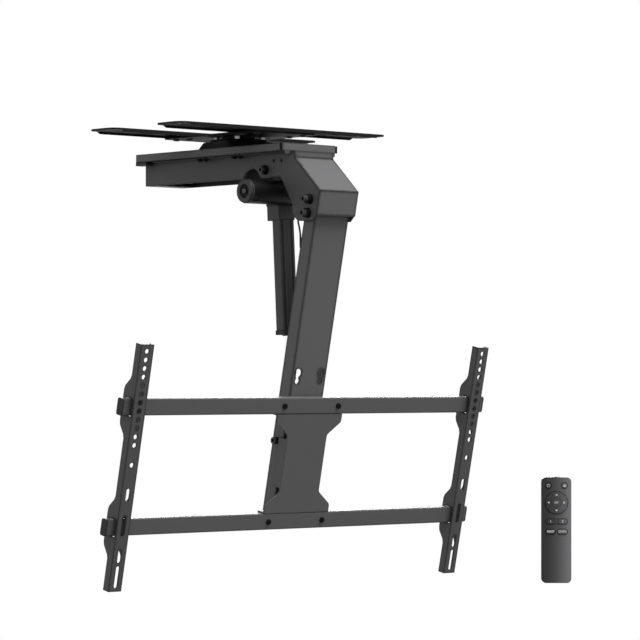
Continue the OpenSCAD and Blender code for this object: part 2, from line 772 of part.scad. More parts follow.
// Gear housing: a round body about the motor's axis, a block down to the collar, a lug on top
module gearbox() {
    back = tube_d / 2 + collar_back;
    front = tube_d / 2;
    color([0.07, 0.07, 0.075]) at_top_pin() difference() {
        union() {
            translate([0, -motor_ahead, -motor_drop]) bar_x(motor_d, -gearbox_w / 2, gearbox_w / 2);
            translate([-gearbox_w / 2, -front, -collar_top])
                cube([gearbox_w, back + front, collar_top - motor_drop + motor_d / 5]);
            translate([-lug_w / 2, -cross_bolt_d, -motor_drop])
                cube([lug_w, 2 * cross_bolt_d, motor_drop]);
            bar_x(2 * cross_bolt_d, -lug_w / 2, lug_w / 2);
        }
        bar_x(cross_bolt_d + 2 * run_gap, -gearbox_w, gearbox_w);
    }
}

module tube_collar() {
    back = tube_d / 2 + collar_back;
    front = tube_d / 2 + eps;
    color([0.22, 0.22, 0.23]) at_top_pin() translate([0, 0, -collar_top - collar_h]) difference() {
        translate([0, (back - front) / 2, 0]) linear_extrude(collar_h)
            round_rect(collar_w, back + front, tube_r - eps);
        translate([0, 0, -eps]) linear_extrude(collar_h + 2 * eps)
            round_rect(tube_w, tube_d, tube_r);
    }
}

tube_r = 3.5;
module actuator_tube() {
    color([0.17, 0.17, 0.18]) at_top_pin() translate([0, 0, -tube_end])
        linear_extrude(tube_end - collar_top) difference() {
            round_rect(tube_w, tube_d, tube_r);
            round_rect(tube_w - 2 * tube_wall, tube_d - 2 * tube_wall, tube_r - tube_wall / 2);
        }
}

cap_t = 8;
rim_t = 1.25;
module tube_end_cap() {
    rim = rim_t;
    color([0.08, 0.08, 0.08]) at_top_pin() translate([0, 0, -tube_end - cap_t]) difference() {
        union() {
            linear_extrude(cap_t) round_rect(tube_w + 2 * rim, tube_d + 2 * rim, tube_r);
            translate([0, 0, cap_t]) linear_extrude(2 * cap_t)
                round_rect(tube_w - 2 * tube_wall, tube_d - 2 * tube_wall, tube_r - tube_wall / 2);
        }
        translate([0, 0, -eps]) cylinder(d = rod_d + 2 * run_gap, h = 3 * cap_t + 2 * eps);
    }
}

// The screw inside the tube, which the rod's nut runs along
screw_d = rod_d * 0.5;
module lead_screw() {
    color([0.7, 0.7, 0.72]) at_top_pin() translate([0, 0, -tube_end + 3 * cap_t])
        cylinder(d = screw_d, h = tube_end - 3 * cap_t - collar_top);
}

rod_top = act_length - stroke - pin_d - cap_t;
module actuator_rod() {
    bore = rod_d * 0.62;
    color([0.78, 0.79, 0.81]) at_top_pin() translate([0, 0, -act_length + eye_r]) difference() {
        cylinder(d = rod_d, h = rod_length);
        translate([0, 0, cap_t * 2]) cylinder(d = bore, h = rod_length);
    }
}

eye_r = 9;
rod_length = stroke + eye_r + 3 * cap_t;

module drive_nut() {
    nut_h = cap_t * 1.5;
    top = -act_length + eye_r + rod_length;
    color([0.85, 0.84, 0.78]) at_top_pin() translate([0, 0, top]) difference() {
        linear_extrude(nut_h) round_rect(tube_w - 2 * tube_wall - 2 * slide_gap,
            tube_d - 2 * tube_wall - 2 * slide_gap, tube_r / 2);
        translate([0, 0, -eps]) cylinder(d = screw_d + 2 * run_gap, h = nut_h + 2 * eps);
    }
}

module rod_eye() {
    color([0.25, 0.25, 0.26]) at_top_pin() translate([0, 0, -act_length]) difference() {
        union() {
            bar_x(2 * eye_r, -eye_r, eye_r);
            cylinder(d = rod_d * 1.15, h = eye_r);
        }
        bar_x(pin_d * 0.9, -2 * eye_r, 2 * eye_r);
        translate([0, 0, eye_r]) cylinder(d = rod_d * 2, h = eye_r);
    }
}

// The arm is drawn in the frame of its pivot: -Z runs down the arm, -Y is its front
keyhole_sink = keyhole_d * 0.9;
module keyhole(neck) {
    circle(d = keyhole_d);
    translate([0, -keyhole_sink]) circle(d = neck);
    translate([-neck * 0.36, -keyhole_sink]) square([neck * 0.72, keyhole_sink]);
}

keyhole_drops = [keyhole_drop, bar_drop + bar_h * 0.1, bar_drop + bar_pitch - keyhole_sink];

// An open channel with inward lips, round cheeks about the pivot and keyholes in its face
module arm() {
    flat = arm_length;
    inner = arm_w - 2 * arm_sheet;
    color([0.28, 0.28, 0.29]) at_pivot() difference() {
        union() {
            for (s = [-1, 1]) along_x(arm_sheet, s * (arm_w - arm_sheet) / 2) {
                translate([-arm_d / 2, -flat]) square([arm_d, flat]);
                circle(d = arm_d);
            }
            translate([-arm_w / 2, -arm_d / 2, -flat])
                cube([arm_w, arm_sheet, flat + arm_d / 3]);
            for (s = [-1, 1])
                translate([s * (arm_w - arm_lip) / 2 - arm_lip / 2, arm_d / 2 - arm_sheet, -flat])
                    cube([arm_lip, arm_sheet, flat - 2 * arm_d]);
        }
        bar_x(cross_bolt_d + 2 * run_gap, -arm_w, arm_w);
        translate([0, 0, -rod_pin_reach]) bar_x(pin_d, -arm_w, arm_w);
        for (s = [-1, 1], k = keyhole_drops) translate([s * keyhole_pitch / 2, -arm_d / 2 - eps, -k])
            rotate([90, 0, 0]) translate([0, 0, -arm_sheet - 2 * eps])
                linear_extrude(arm_sheet + 2 * eps) keyhole(keyhole_neck_d);
    }
}

// Shoulder bolts through the arm's cheeks, one from each side of the rod's eye
module rod_pin_bolts() {
    half = arm_w / 2;
    tip_left = -act_offset - eye_r - eps;
    tip_right = -act_offset + eye_r + eps;
    color([0.06, 0.06, 0.06]) at_pivot() translate([0, 0, -rod_pin_reach]) {
        difference() {
            union() {
                bar_x(pin_d, -half - boss_stand, tip_left);
                bar_x(pin_d * 1.3, -half - boss_stand, -half);
                bar_x(pin_d * 1.5, -half + arm_sheet, tip_left);
            }
            hex_x(pin_d * 0.6, -half - boss_stand - eps, -half - boss_stand * 0.4);
        }
        difference() {
            union() {
                bar_x(pin_d, tip_right, half + boss_stand * 0.6);
                hex_x(pin_d * 1.6, half, half + boss_stand * 0.6);
                bar_x(pin_d * 1.5, tip_right, half - arm_sheet);
            }
        }
    }
}

// Lead along the arm: it starts below the pivot, loops out behind the arm and comes back
// to run down the corner of the channel
cable_d = 3;
cable_sides = 8;
cable_x = -arm_w / 2 + arm_sheet + 2.2 * cable_d;
cable_y = -arm_d / 2 + arm_sheet + cable_d / 2;
// Its loop, drawn by hand on a grid of a tenth of the arm's depth
loop = [[-9, -3, -5], [-9, 0.5, -4.5], [-9, 4, -4], [-9, 7, -3.5], [-9, 10, -4], [-9, 12.5, -5],
    [-9, 13.5, -8], [-9, 12, -12], [-9, 10, -15], [-9, 9, -18.5], [-9, 8, -21.5],
    [-9.5, 6.5, -24.5], [-9.5, 4, -27.5], [-10, 1.5, -30.5], [-10.5, -0.5, -34], [-11, -2.5, -37.5]];
straight_top = arm_length * 0.21;
straight_end = arm_length * 0.92;
// It lifts off the channel's floor where the heads of the upper hook studs are
stud_drop = keyhole_drops[1] + keyhole_sink;
lift = arm_sheet * 1.4;
cable_route = concat(loop * arm_d / 10,
    [for (i = [0:20]) let (z = straight_top + (straight_end - straight_top) * i / 20,
        q = abs(z - stud_drop) / keyhole_d)
        [cable_x, cable_y + lift * max(0, 1 - max(0, q - 1) / 1.5), -z]]);

function unit(v) = v / norm(v);
function tangent(p, i) = unit(p[min(i + 1, len(p) - 1)] - p[max(i - 1, 0)]);
function ring(c, t, r, n) = let (u = unit(cross(t, [1, 0, 0])), v = cross(t, u))
    [for (k = [0:n - 1]) c + r * (cos(360 * k / n) * u + sin(360 * k / n) * v)];

// A tube of n sides swept along a route
module swept_tube(route, d, n) {
    rings = [for (i = [0:len(route) - 1]) each ring(route[i], tangent(route, i), d / 2, n)];
    last = len(route) - 1;
    sides = [for (i = [0:last - 1], k = [0:n - 1]) let (a = i * n + k, b = i * n + (k + 1) % n)
        each [[a, b, b + n], [a, b + n, a + n]]];
    caps = [[for (k = [n - 1:-1:0]) k], [for (k = [0:n - 1]) last * n + k]];
    polyhedron(rings, concat(sides, caps));
}

module arm_cable() {
    color([0.04, 0.04, 0.04]) at_pivot() swept_tube(cable_route, cable_d, cable_sides);
}

// The screen frame is drawn in the arm's frame

bar_back = -arm_d / 2 - plate_sheet - 2 * seat_gap;
bar_front = bar_back - bar_d;
plate_top = -bar_drop - bar_h / 2 - seat_gap;
plate_bottom = -bar_drop - bar_pitch + bar_h / 2 + seat_gap;
plate_height = plate_top - plate_bottom;
lobe_share = 0.08;
waist_share = 0.21;
plate_r = 8;

// Points of a round corner at b between the lines to a and to c
function corner(a, b, c, r) = let (u = (a - b) / norm(a - b), v = (c - b) / norm(c - b),
    half = acos(u * v) / 2, centre = b + (u + v) / norm(u + v) * r / sin(half),
    p = b + u * r / tan(half) - centre, q = b + v * r / tan(half) - centre, g = 180 - 2 * half)
    [for (i = [0:6]) centre + (sin(g * (1 - i / 6)) * p + sin(g * i / 6) * q) / sin(g)];

// Half outline of the centre plate's face, from top to bottom
function half_plate(s) = let (w = s * plate_w / 2, n = s * waist_w / 2, h = plate_height,
    p = [[w, plate_top], [w, plate_top - lobe_share * h], [n, plate_top - waist_share * h],
        [n, plate_bottom + waist_share * h], [w, plate_bottom + lobe_share * h], [w, plate_bottom]])
    concat([p[0]], [for (i = [1:4]) each corner(p[i - 1], p[i], p[i + 1], plate_r)], [p[5]]);

module at_face(y) {
    translate([0, y, 0]) rotate([90, 0, 0]) children();
}

// A pressed plate: raised face between the bars, margins behind them, wings beside the arm
module centre_plate() {
    right = half_plate(1);
    left = half_plate(-1);
    margin = bar_h * 0.9;
    wing_y = bar_front + plate_sheet;
    wing_h = plate_height * (1 - 2 * waist_share) - 2 * plate_r;
    color([0.28, 0.28, 0.29]) at_pivot() difference() {
        union() {
            at_face(bar_front + plate_sheet) linear_extrude(plate_sheet)
                polygon(concat(right, [for (i = [len(left) - 1:-1:0]) left[i]]));
            for (z = [plate_top - plate_sheet, plate_bottom])
                translate([-plate_w / 2, bar_front, z])
                    cube([plate_w, bar_d + plate_sheet + seat_gap, plate_sheet]);
            for (z = [plate_top - plate_sheet, plate_bottom + plate_sheet - margin])
                translate([-plate_w / 2, bar_back + seat_gap, z])
                    cube([plate_w, plate_sheet, margin]);
            for (s = [-1, 1]) translate([s * (waist_w - plate_sheet) / 2 - plate_sheet / 2,
                bar_front, (plate_top + plate_bottom - wing_h) / 2])
                cube([plate_sheet, bar_d + plate_sheet + arm_d * 0.2, wing_h]);
        }
        for (s = [-1, 1], z = [-bar_drop, -bar_drop - bar_pitch])
            translate([s * bar_screw_pitch / 2, -arm_d / 2, z]) rotate([90, 0, 0])
                cylinder(d = bar_screw_d, h = bar_d);
        for (s = [-1, 1], k = [1, 2]) at_stud(s, k) cylinder(d = stud_neck_d, h = bar_d);
    }
}

bar_screw_d = 6;
stud_neck_d = keyhole_neck_d - 2 * slide_gap;

module at_stud(s, k) {
    translate([s * keyhole_pitch / 2, -arm_d / 2, -keyhole_drops[k] - keyhole_sink])
        rotate([90, 0, 0]) children();
}

// Headed studs on the centre plate that drop into the arm's keyholes
module hook_studs() {
    head = arm_sheet;
    color([0.6, 0.6, 0.62]) at_pivot() for (s = [-1, 1], k = [1, 2]) at_stud(s, k) {
        translate([0, 0, -arm_sheet]) cylinder(d = stud_neck_d,
            h = arm_sheet + plate_sheet + seat_gap);
        translate([0, 0, -arm_sheet - seat_gap - head])
            cylinder(d = keyhole_d * 0.85, h = head + seat_gap);
    }
}

bar_r = 2.5;
module bar(z) {
    color([0.28, 0.28, 0.29]) at_pivot() translate([0, bar_front + bar_d / 2, z]) difference() {
        along_x(bar_length) round_rect(bar_d, bar_h, bar_r);
        along_x(bar_length + 2 * eps)
            round_rect(bar_d - 2 * bar_wall, bar_h - 2 * bar_wall, bar_r - bar_wall / 2);
        for (s = [-1, 1]) translate([s * bar_screw_pitch / 2, bar_d, 0]) rotate([90, 0, 0])
            cylinder(d = bar_screw_d, h = 2 * bar_d);
    }
}

module upper_bar() { bar(-bar_drop); }

module lower_bar() { bar(-bar_drop - bar_pitch); }

// Plastic plugs in the ends of the bars, each with a flush rim
module bar_end_caps() {
    plug = 4 * bar_cap_t;
    color([0.2, 0.2, 0.21]) at_pivot() for (z = [-bar_drop, -bar_drop - bar_pitch], s = [-1, 1])
        translate([s * bar_length / 2, bar_front + bar_d / 2, z]) scale([s, 1, 1]) {
            along_x(bar_cap_t, bar_cap_t / 2) round_rect(bar_d, bar_h, bar_r * 1.6);
            along_x(plug, -plug / 2)
                round_rect(bar_d - 2 * bar_wall, bar_h - 2 * bar_wall, bar_r - bar_wall / 2);
        }
}

module bar_screws() {
    head_h = bar_screw_d * 0.45;
    color([0.04, 0.04, 0.04]) at_pivot() for (s = [-1, 1], z = [-bar_drop, -bar_drop - bar_pitch])
        translate([s * bar_screw_pitch / 2, bar_front, z]) rotate([90, 0, 0]) difference() {
            union() {
                cylinder(d = bar_screw_d * 1.7, h = head_h);
                translate([0, 0, -bar_d - plate_sheet])
                    cylinder(d = bar_screw_d, h = bar_d + plate_sheet);
            }
            translate([0, 0, head_h / 3]) hex_z(bar_screw_d * 0.5, head_h);
        }
}

bracket_front = bar_front - bracket_stand;
bracket_top = -bar_drop + (bracket_length - bar_pitch) / 2;
top_hole = bracket_top - hole_pitch * 0.8;
hole_count = 12;
// Slots in a bracket, each as start and end, in hole pitches below the top hole
slot_shares = [[16.1, 17.6], [19.3, 21.7], [23.3, 24.9], [25.3, 27.9]];

// Depth of a flange at a distance from its bar: full beside the bar, eased down to the ends
lobe_flat = bar_h * 0.95;
lobe_run = bar_h * 0.9;
function flange_depth(q, end_d) = q <= lobe_flat ? lobe_d
    : q >= lobe_flat + lobe_run ? end_d
    : end_d + (lobe_d - end_d) * (1 + cos(180 * (q - lobe_flat) / lobe_run)) / 2;
function lobe_points(z, end_d) = [for (i = [8:-1:-8]) let (q = i / 8 * (lobe_flat + lobe_run))
    [flange_depth(abs(q), end_d), z + q]];

// The hooks' openings reach forward close to the bracket's face
hook_front = 2 * bracket_sheet;
hook_play = slide_gap;
module flange_outline(end_d) {
    bottom = bracket_top - bracket_length;
    difference() {
        polygon(concat([[0, bracket_top], [end_d, bracket_top]], lobe_points(-bar_drop, end_d),
            lobe_points(-bar_drop - bar_pitch, end_d), [[end_d, bottom], [0, bottom]]));
        for (z = [-bar_drop, -bar_drop - bar_pitch])
            translate([hook_front, z - bar_h / 2 - hook_play])
                square([bracket_stand + bar_d + slide_gap - hook_front,
                    bar_h + hook_play + slide_gap]);
    }
}

// A pressed channel with hooked flanges that the bars pass through
module bracket(x) {
    bottom = bracket_top - bracket_length;
    face_t = bracket_sheet;
    color([0.29, 0.29, 0.3]) at_pivot() translate([x, bracket_front, 0]) difference() {
        union() {
            for (s = [-1, 1]) along_x(bracket_sheet, s * (bracket_w - bracket_sheet) / 2)
                flange_outline(s < 0 ? bracket_d : right_flange_d);
            translate([-bracket_w / 2, 0, bottom]) cube([bracket_w, face_t, bracket_length]);
        }
        for (i = [0:hole_count - 1]) translate([0, -eps, top_hole - i * hole_pitch])
            rotate([-90, 0, 0]) cylinder(d = hole_d, h = face_t + 2 * eps);
        translate([0, -eps, top_hole - pattern_hole_drop]) rotate([-90, 0, 0])
            cylinder(d = hole_d, h = face_t + 2 * eps);
        for (k = slot_shares) translate([0, face_t + eps, top_hole - (k[0] + k[1]) / 2 * hole_pitch])
            rotate([90, 0, 0]) linear_extrude(face_t + 2 * eps)
                rotate(90) slot((k[1] - k[0]) * hole_pitch, hole_d * 0.85);
    }
}

module bracket_left() { bracket(-bracket_pitch / 2); }

module bracket_right() { bracket(bracket_pitch / 2); }

// The remote is drawn in its own frame: its face is at -Y, its middle at the origin

remote_wall = 2;
split = remote_t * 0.45;
front_t = remote_t - split;
ring_z = remote_h * 0.262;
small_z = remote_h * 0.425;
small_x = remote_w * 0.27;
row_x = remote_w * 0.2;
row_zs = [remote_h * 0.084, -remote_h * 0.0125];
round_button_d = 10;
pill_w = 17;
pill_h = 8.5;

module at_remote() {
    translate([remote_right, -remote_front, -remote_drop]) rotate([0, 0, remote_turn]) children();
}

// Places something on the remote's face, drawn in X and Z
module on_face(x, z, y = -remote_t / 2) {
    translate([x, y, z]) rotate([90, 0, 0]) children();
}

module pill_outline(grow) {
    round_rect(pill_w + 2 * grow, pill_h + 2 * grow, pill_h * 0.45);
}

module button_outlines(grow) {
    for (x = [-1, 1]) {
        translate([x * small_x, small_z]) circle(d = round_button_d + 2 * grow);
        for (z = row_zs) translate([x * row_x, z]) pill_outline(grow);
    }
    translate([0, ring_z]) circle(d = ring_d + 2 * grow);
}

// Front shell: an open tray with openings for the buttons
module remote_front_shell() {
    color([0.2, 0.2, 0.21]) at_remote() difference() {
        on_face(0, 0, -remote_t / 2 + front_t) linear_extrude(front_t)
            round_rect(remote_w, remote_h, remote_corner_r);
        on_face(0, 0, -remote_t / 2 + front_t + eps)
            linear_extrude(front_t - remote_wall + eps)
                round_rect(remote_w - 2 * remote_wall, remote_h - 2 * remote_wall,
                    remote_corner_r - remote_wall);
        on_face(0, 0, -remote_t / 2 + remote_wall + eps)
            linear_extrude(remote_wall + 2 * eps) button_outlines(slide_gap);
    }
}

door_w = remote_w * 0.62;
door_h = remote_h * 0.38;
door_z = -remote_h * 0.22;

module remote_back_shell() {
    color([0.13, 0.13, 0.14]) at_remote() difference() {
        on_face(0, 0, remote_t / 2) linear_extrude(split)
            round_rect(remote_w, remote_h, remote_corner_r);
        on_face(0, 0, remote_t / 2 - remote_wall) linear_extrude(split)
            round_rect(remote_w - 2 * remote_wall, remote_h - 2 * remote_wall,
                remote_corner_r - remote_wall);
        on_face(0, door_z, remote_t / 2 + eps) linear_extrude(remote_wall + 2 * eps)
            round_rect(door_w + 2 * seat_gap, door_h + 2 * seat_gap, remote_wall + seat_gap);
    }
}

module battery_door() {
    color([0.12, 0.12, 0.13]) at_remote() {
        on_face(0, door_z, remote_t / 2) linear_extrude(remote_wall) difference() {
            round_rect(door_w, door_h, remote_wall);
            translate([0, door_h * 0.36]) slot(door_w / 3, remote_wall);
        }
    }
}

// A button: its cap stands out of the face and a wider foot keeps it behind the face
foot_t = 1.2;
foot_share = 1.12;
module button_solid(x, z) {
    color([0.12, 0.12, 0.13]) {
        on_face(x, z, -remote_t / 2 + remote_wall + seat_gap)
            linear_extrude(remote_wall + seat_gap + button_rise) children();
        on_face(x, z, -remote_t / 2 + remote_wall + seat_gap + foot_t)
            linear_extrude(foot_t) scale([foot_share, foot_share]) children();
    }
}

module power_button() {
    at_remote() button_solid(-small_x, small_z) circle(d = round_button_d);
}

module home_button() {
    at_remote() button_solid(small_x, small_z) circle(d = round_button_d);
}

module direction_ring() {
    color([0.11, 0.11, 0.12]) at_remote() difference() {
        button_solid(0, ring_z) circle(d = ring_d);
        on_face(0, ring_z, 0) cylinder(d = middle_d + 2 * slide_gap, h = remote_t);
    }
}

module middle_button() {
    color([0.14, 0.14, 0.15]) at_remote()
        on_face(0, ring_z, -remote_t / 2 + remote_wall + seat_gap + foot_t)
            cylinder(d = middle_d, h = remote_wall + seat_gap + foot_t + button_rise);
}

module left_button() { at_remote() button_solid(-row_x, row_zs[0]) pill_outline(0); }

module right_button() { at_remote() button_solid(row_x, row_zs[0]) pill_outline(0); }

module lower_left_button() { at_remote() button_solid(-row_x, row_zs[1]) pill_outline(0); }

module lower_right_button() { at_remote() button_solid(row_x, row_zs[1]) pill_outline(0); }

ceiling_rail_front();
ceiling_rail_rear();
cross_plate();
rail_bolts();
swivel_hub();
post_spacers();
post_bolts();
bearing_plate();
swivel_bolt();
swivel_nut();
glide_ring();
swivel_dish();
stop_peg();
top_cover();
housing_shell();
front_cover();
bottom_cover();
corner_pads();
flange_bolts();
cheek_screws();
pivot_washers();
stop_sleeve();
cross_bolts();
actuator_bushes();
controller_case();
controller_board();
power_inlet();
motor_can();
motor_end_bell();
gearbox();
tube_collar();
actuator_tube();
tube_end_cap();
lead_screw();
actuator_rod();
drive_nut();
rod_eye();
arm();
rod_pin_bolts();
arm_cable();
centre_plate();
hook_studs();
upper_bar();
lower_bar();
bar_end_caps();
bar_screws();
bracket_left();
bracket_right();
remote_front_shell();
remote_back_shell();
battery_door();
power_button();
home_button();
direction_ring();
middle_button();
left_button();
right_button();
lower_left_button();
lower_right_button();
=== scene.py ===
import math
from types import SimpleNamespace as Named

import bpy
import numpy as np
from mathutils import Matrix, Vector


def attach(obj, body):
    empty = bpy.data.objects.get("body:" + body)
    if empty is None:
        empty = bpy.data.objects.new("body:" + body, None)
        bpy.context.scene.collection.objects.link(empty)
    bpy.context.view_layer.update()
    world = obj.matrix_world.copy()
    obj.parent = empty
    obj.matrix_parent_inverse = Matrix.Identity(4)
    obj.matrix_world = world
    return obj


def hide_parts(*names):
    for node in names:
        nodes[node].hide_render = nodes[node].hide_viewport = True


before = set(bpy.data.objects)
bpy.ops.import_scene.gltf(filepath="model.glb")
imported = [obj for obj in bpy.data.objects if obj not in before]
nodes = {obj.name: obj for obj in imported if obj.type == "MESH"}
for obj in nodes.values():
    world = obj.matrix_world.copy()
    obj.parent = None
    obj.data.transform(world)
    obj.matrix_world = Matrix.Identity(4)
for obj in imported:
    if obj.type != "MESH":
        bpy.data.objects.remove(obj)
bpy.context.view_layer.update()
print("frame loaded with", len(nodes), "nodes")


def addObject(name, data):
    obj = bpy.data.objects.new(name, data)
    bpy.context.scene.collection.objects.link(obj)
    return obj


# Camera: level, with the lens shifted so that upright edges stay upright as in the photograph
cameraSettings = {
    "place": (-3.7434, -4.4581, -0.457),
    "tilt": 90.0,            # degrees; 90 is level
    "turn": -41.5,           # degrees about the upright
    "sensor": 36.0,          # mm, as is the lens
    "lens": 177.19,
    "shiftAcross": -0.00094,
    "shiftUp": 0.09328,
}


def addCamera(values):
    v = Named(**values)
    data = bpy.data.cameras.new("photoCamera")
    data.sensor_width, data.lens = v.sensor, v.lens
    data.shift_x, data.shift_y = v.shiftAcross, v.shiftUp
    camera = addObject("photoCamera", data)
    camera.location = v.place
    camera.rotation_euler = (math.radians(v.tilt), 0, math.radians(v.turn))
    bpy.context.scene.camera = camera


addCamera(cameraSettings)
bpy.context.scene.view_settings.view_transform = "Standard"
print("camera placed")


# Studio: a high soft key lamp from the front, a white surround above and a dim one below
studioSettings = {
    "floorHeight": -1.3,
    "floorRadius": 4.0,
    "floorSides": 96,
    "floorTone": 0.8,
    "floorBounce": 0.12,     # the tone that lights the part from below
    "floorGlow": 0.7,        # share of plain white over the floor, the rest shows the shadow
    "fadeStart": 0.35,       # where the floor begins to fade into the white, in radii
    "upperTone": 0.7,
    "lowerTone": 0.1,
    "horizonBlend": 0.12,
    "keyPower": 410.0,
    "keyDirection": (0.1, -0.45, 0.887),
    "keyDistance": 6.0,
    "keySize": 3.0,
    "backPower": 210.0,
    "backDirection": (0.62, 0.75, 0.3),
    "backDistance": 5.0,
    "backSize": 2.4,
    "target": (0, -0.15, -0.4),
    "white": (1, 1, 1, 1),
}


def addLamp(name, values):
    data = bpy.data.lights.new(name + "Lamp", "AREA")
    data.shape = "DISK"
    data.energy = values[name + "Power"]
    data.size = values[name + "Size"]
    lamp = addObject(name + "Lamp", data)
    towards = Vector(values[name + "Direction"]).normalized()
    lamp.location = Vector(values["target"]) + towards * values[name + "Distance"]
    lamp.rotation_euler = towards.to_track_quat("Z", "Y").to_euler()


# Gives a socket its value, or a link where the value is another socket
def feed(tree, socket, value):
    if isinstance(value, bpy.types.NodeSocket):
        tree.links.new(value, socket)
    elif value is not None:
        socket.default_value = value


def mathNode(tree, operation, a, b=None, clamp=False):
    node = tree.nodes.new("ShaderNodeMath")
    node.operation = operation
    node.use_clamp = clamp
    feed(tree, node.inputs[0], a)
    feed(tree, node.inputs[1], b)
    return node.outputs[0]


def vectorNode(tree, operation, a, b=None):
    node = tree.nodes.new("ShaderNodeVectorMath")
    node.operation = operation
    feed(tree, node.inputs[0], a)
    feed(tree, node.inputs["Scale"] if operation == "SCALE" else node.inputs[1], b)
    return node.outputs["Value" if operation in ("DOT_PRODUCT", "LENGTH") else "Vector"]


def mixShader(tree, share, first, second):
    node = tree.nodes.new("ShaderNodeMixShader")
    for socket, value in zip(node.inputs, (share, first, second)):
        feed(tree, socket, value)
    return node.outputs[0]


# A value that runs from start to end as the factor runs from low to high
def ramp(tree, factor, start, end, low=0.0, high=1.0, smooth=False):
    node = tree.nodes.new("ShaderNodeMapRange")
    if smooth:
        node.interpolation_type = "SMOOTHSTEP"
    for label, value in (("Value", factor), ("From Min", low), ("From Max", high), ("To Min", start),
                         ("To Max", end)):
        feed(tree, node.inputs[label], value)
    return node.outputs[0]


def noiseNode(tree, place, scale, detail):
    node = tree.nodes.new("ShaderNodeTexNoise")
    for label, value in (("Vector", place), ("Scale", scale), ("Detail", detail)):
        feed(tree, node.inputs[label], value)
    return node.outputs["Fac"]


def objectPlace(tree):
    return tree.nodes.new("ShaderNodeTexCoord").outputs["Object"]


# One for the rays that show the background: camera, glossy and transmission rays
def seenDirectly(tree):
    path = tree.nodes.new("ShaderNodeLightPath").outputs
    first = mathNode(tree, "MAXIMUM", path["Is Camera Ray"], path["Is Glossy Ray"])
    return mathNode(tree, "MAXIMUM", first, path["Is Transmission Ray"])


def buildWorld(values):
    v = Named(**values)
    world = bpy.data.worlds.new("studio")
    bpy.context.scene.world = world
    world.use_nodes = True
    tree = world.node_tree
    tree.nodes.clear()
    split = tree.nodes.new("ShaderNodeSeparateXYZ")
    feed(tree, split.inputs[0], tree.nodes.new("ShaderNodeTexCoord").outputs["Generated"])
    tone = ramp(tree, split.outputs["Z"], v.lowerTone, v.upperTone, -v.horizonBlend, v.horizonBlend)
    light = tree.nodes.new("ShaderNodeBackground")
    feed(tree, light.inputs["Color"], v.white)
    feed(tree, light.inputs["Strength"], ramp(tree, seenDirectly(tree), tone, 1))
    feed(tree, tree.nodes.new("ShaderNodeOutputWorld").inputs[0], light.outputs[0])


# The floor is a disc whose look fades into the white surround towards its rim; from below it is clear
def buildFloor(values):
    v = Named(**values)
    angle = np.linspace(0, 2 * np.pi, v.floorSides, endpoint=False)
    r = v.floorRadius
    rim = np.stack((r * np.cos(angle), r * np.sin(angle), 0 * angle + v.floorHeight), 1)
    mesh = bpy.data.meshes.new("floor")
    mesh.from_pydata(rim.tolist(), [], [list(range(len(rim)))])
    material = bpy.data.materials.new("paleFloor")
    material.use_nodes = True
    tree = material.node_tree
    tree.nodes.clear()
    camera = tree.nodes.new("ShaderNodeLightPath").outputs["Is Camera Ray"]
    matt = tree.nodes.new("ShaderNodeBsdfDiffuse")
    feed(tree, matt.inputs["Color"], ramp(tree, camera, v.floorBounce, v.floorTone))
    lit = tree.nodes.new("ShaderNodeEmission")
    feed(tree, lit.inputs["Color"], v.white)
    flat = vectorNode(tree, "MULTIPLY", objectPlace(tree), (1 / r, 1 / r, 0))
    glow = ramp(tree, vectorNode(tree, "LENGTH", flat), v.floorGlow, 1, v.fadeStart, 1, True)
    share = mathNode(tree, "MULTIPLY", seenDirectly(tree), glow)
    above = mixShader(tree, share, matt.outputs[0], lit.outputs[0])
    below = tree.nodes.new("ShaderNodeBsdfTransparent").outputs[0]
    face = tree.nodes.new("ShaderNodeNewGeometry").outputs["Backfacing"]
    out = tree.nodes.new("ShaderNodeOutputMaterial")
    feed(tree, out.inputs[0], mixShader(tree, face, above, below))
    mesh.materials.append(material)
    addObject("floor", mesh)


buildWorld(studioSettings)
buildFloor(studioSettings)
addLamp("key", studioSettings)
addLamp("back", studioSettings)
print("studio built")


# Shader groups shared by the materials
def newGroup(name, inputs, outputs):
    tree = bpy.data.node_groups.new(name, "ShaderNodeTree")
    for side, sockets in (("INPUT", inputs), ("OUTPUT", outputs)):
        for label, kind in sockets.items():
            tree.interface.new_socket(label, in_out=side, socket_type="NodeSocket" + kind)
    return tree, tree.nodes.new("NodeGroupInput").outputs, tree.nodes.new("NodeGroupOutput").inputs


surfaceOutputs = dict(Color="Color", Roughness="Float", Height="Float")

noiseMiddle = 0.5

coatPattern = {
    "peelDetail": 3.0,
    "cloudScale": 9.0,
    "cloudDetail": 4.0,
    "speckFinerThanGrain": 1.7,
    "grainInShade": 0.8,
    "shadeInRoughness": 0.16,
    "speckInHeight": 0.5,
}


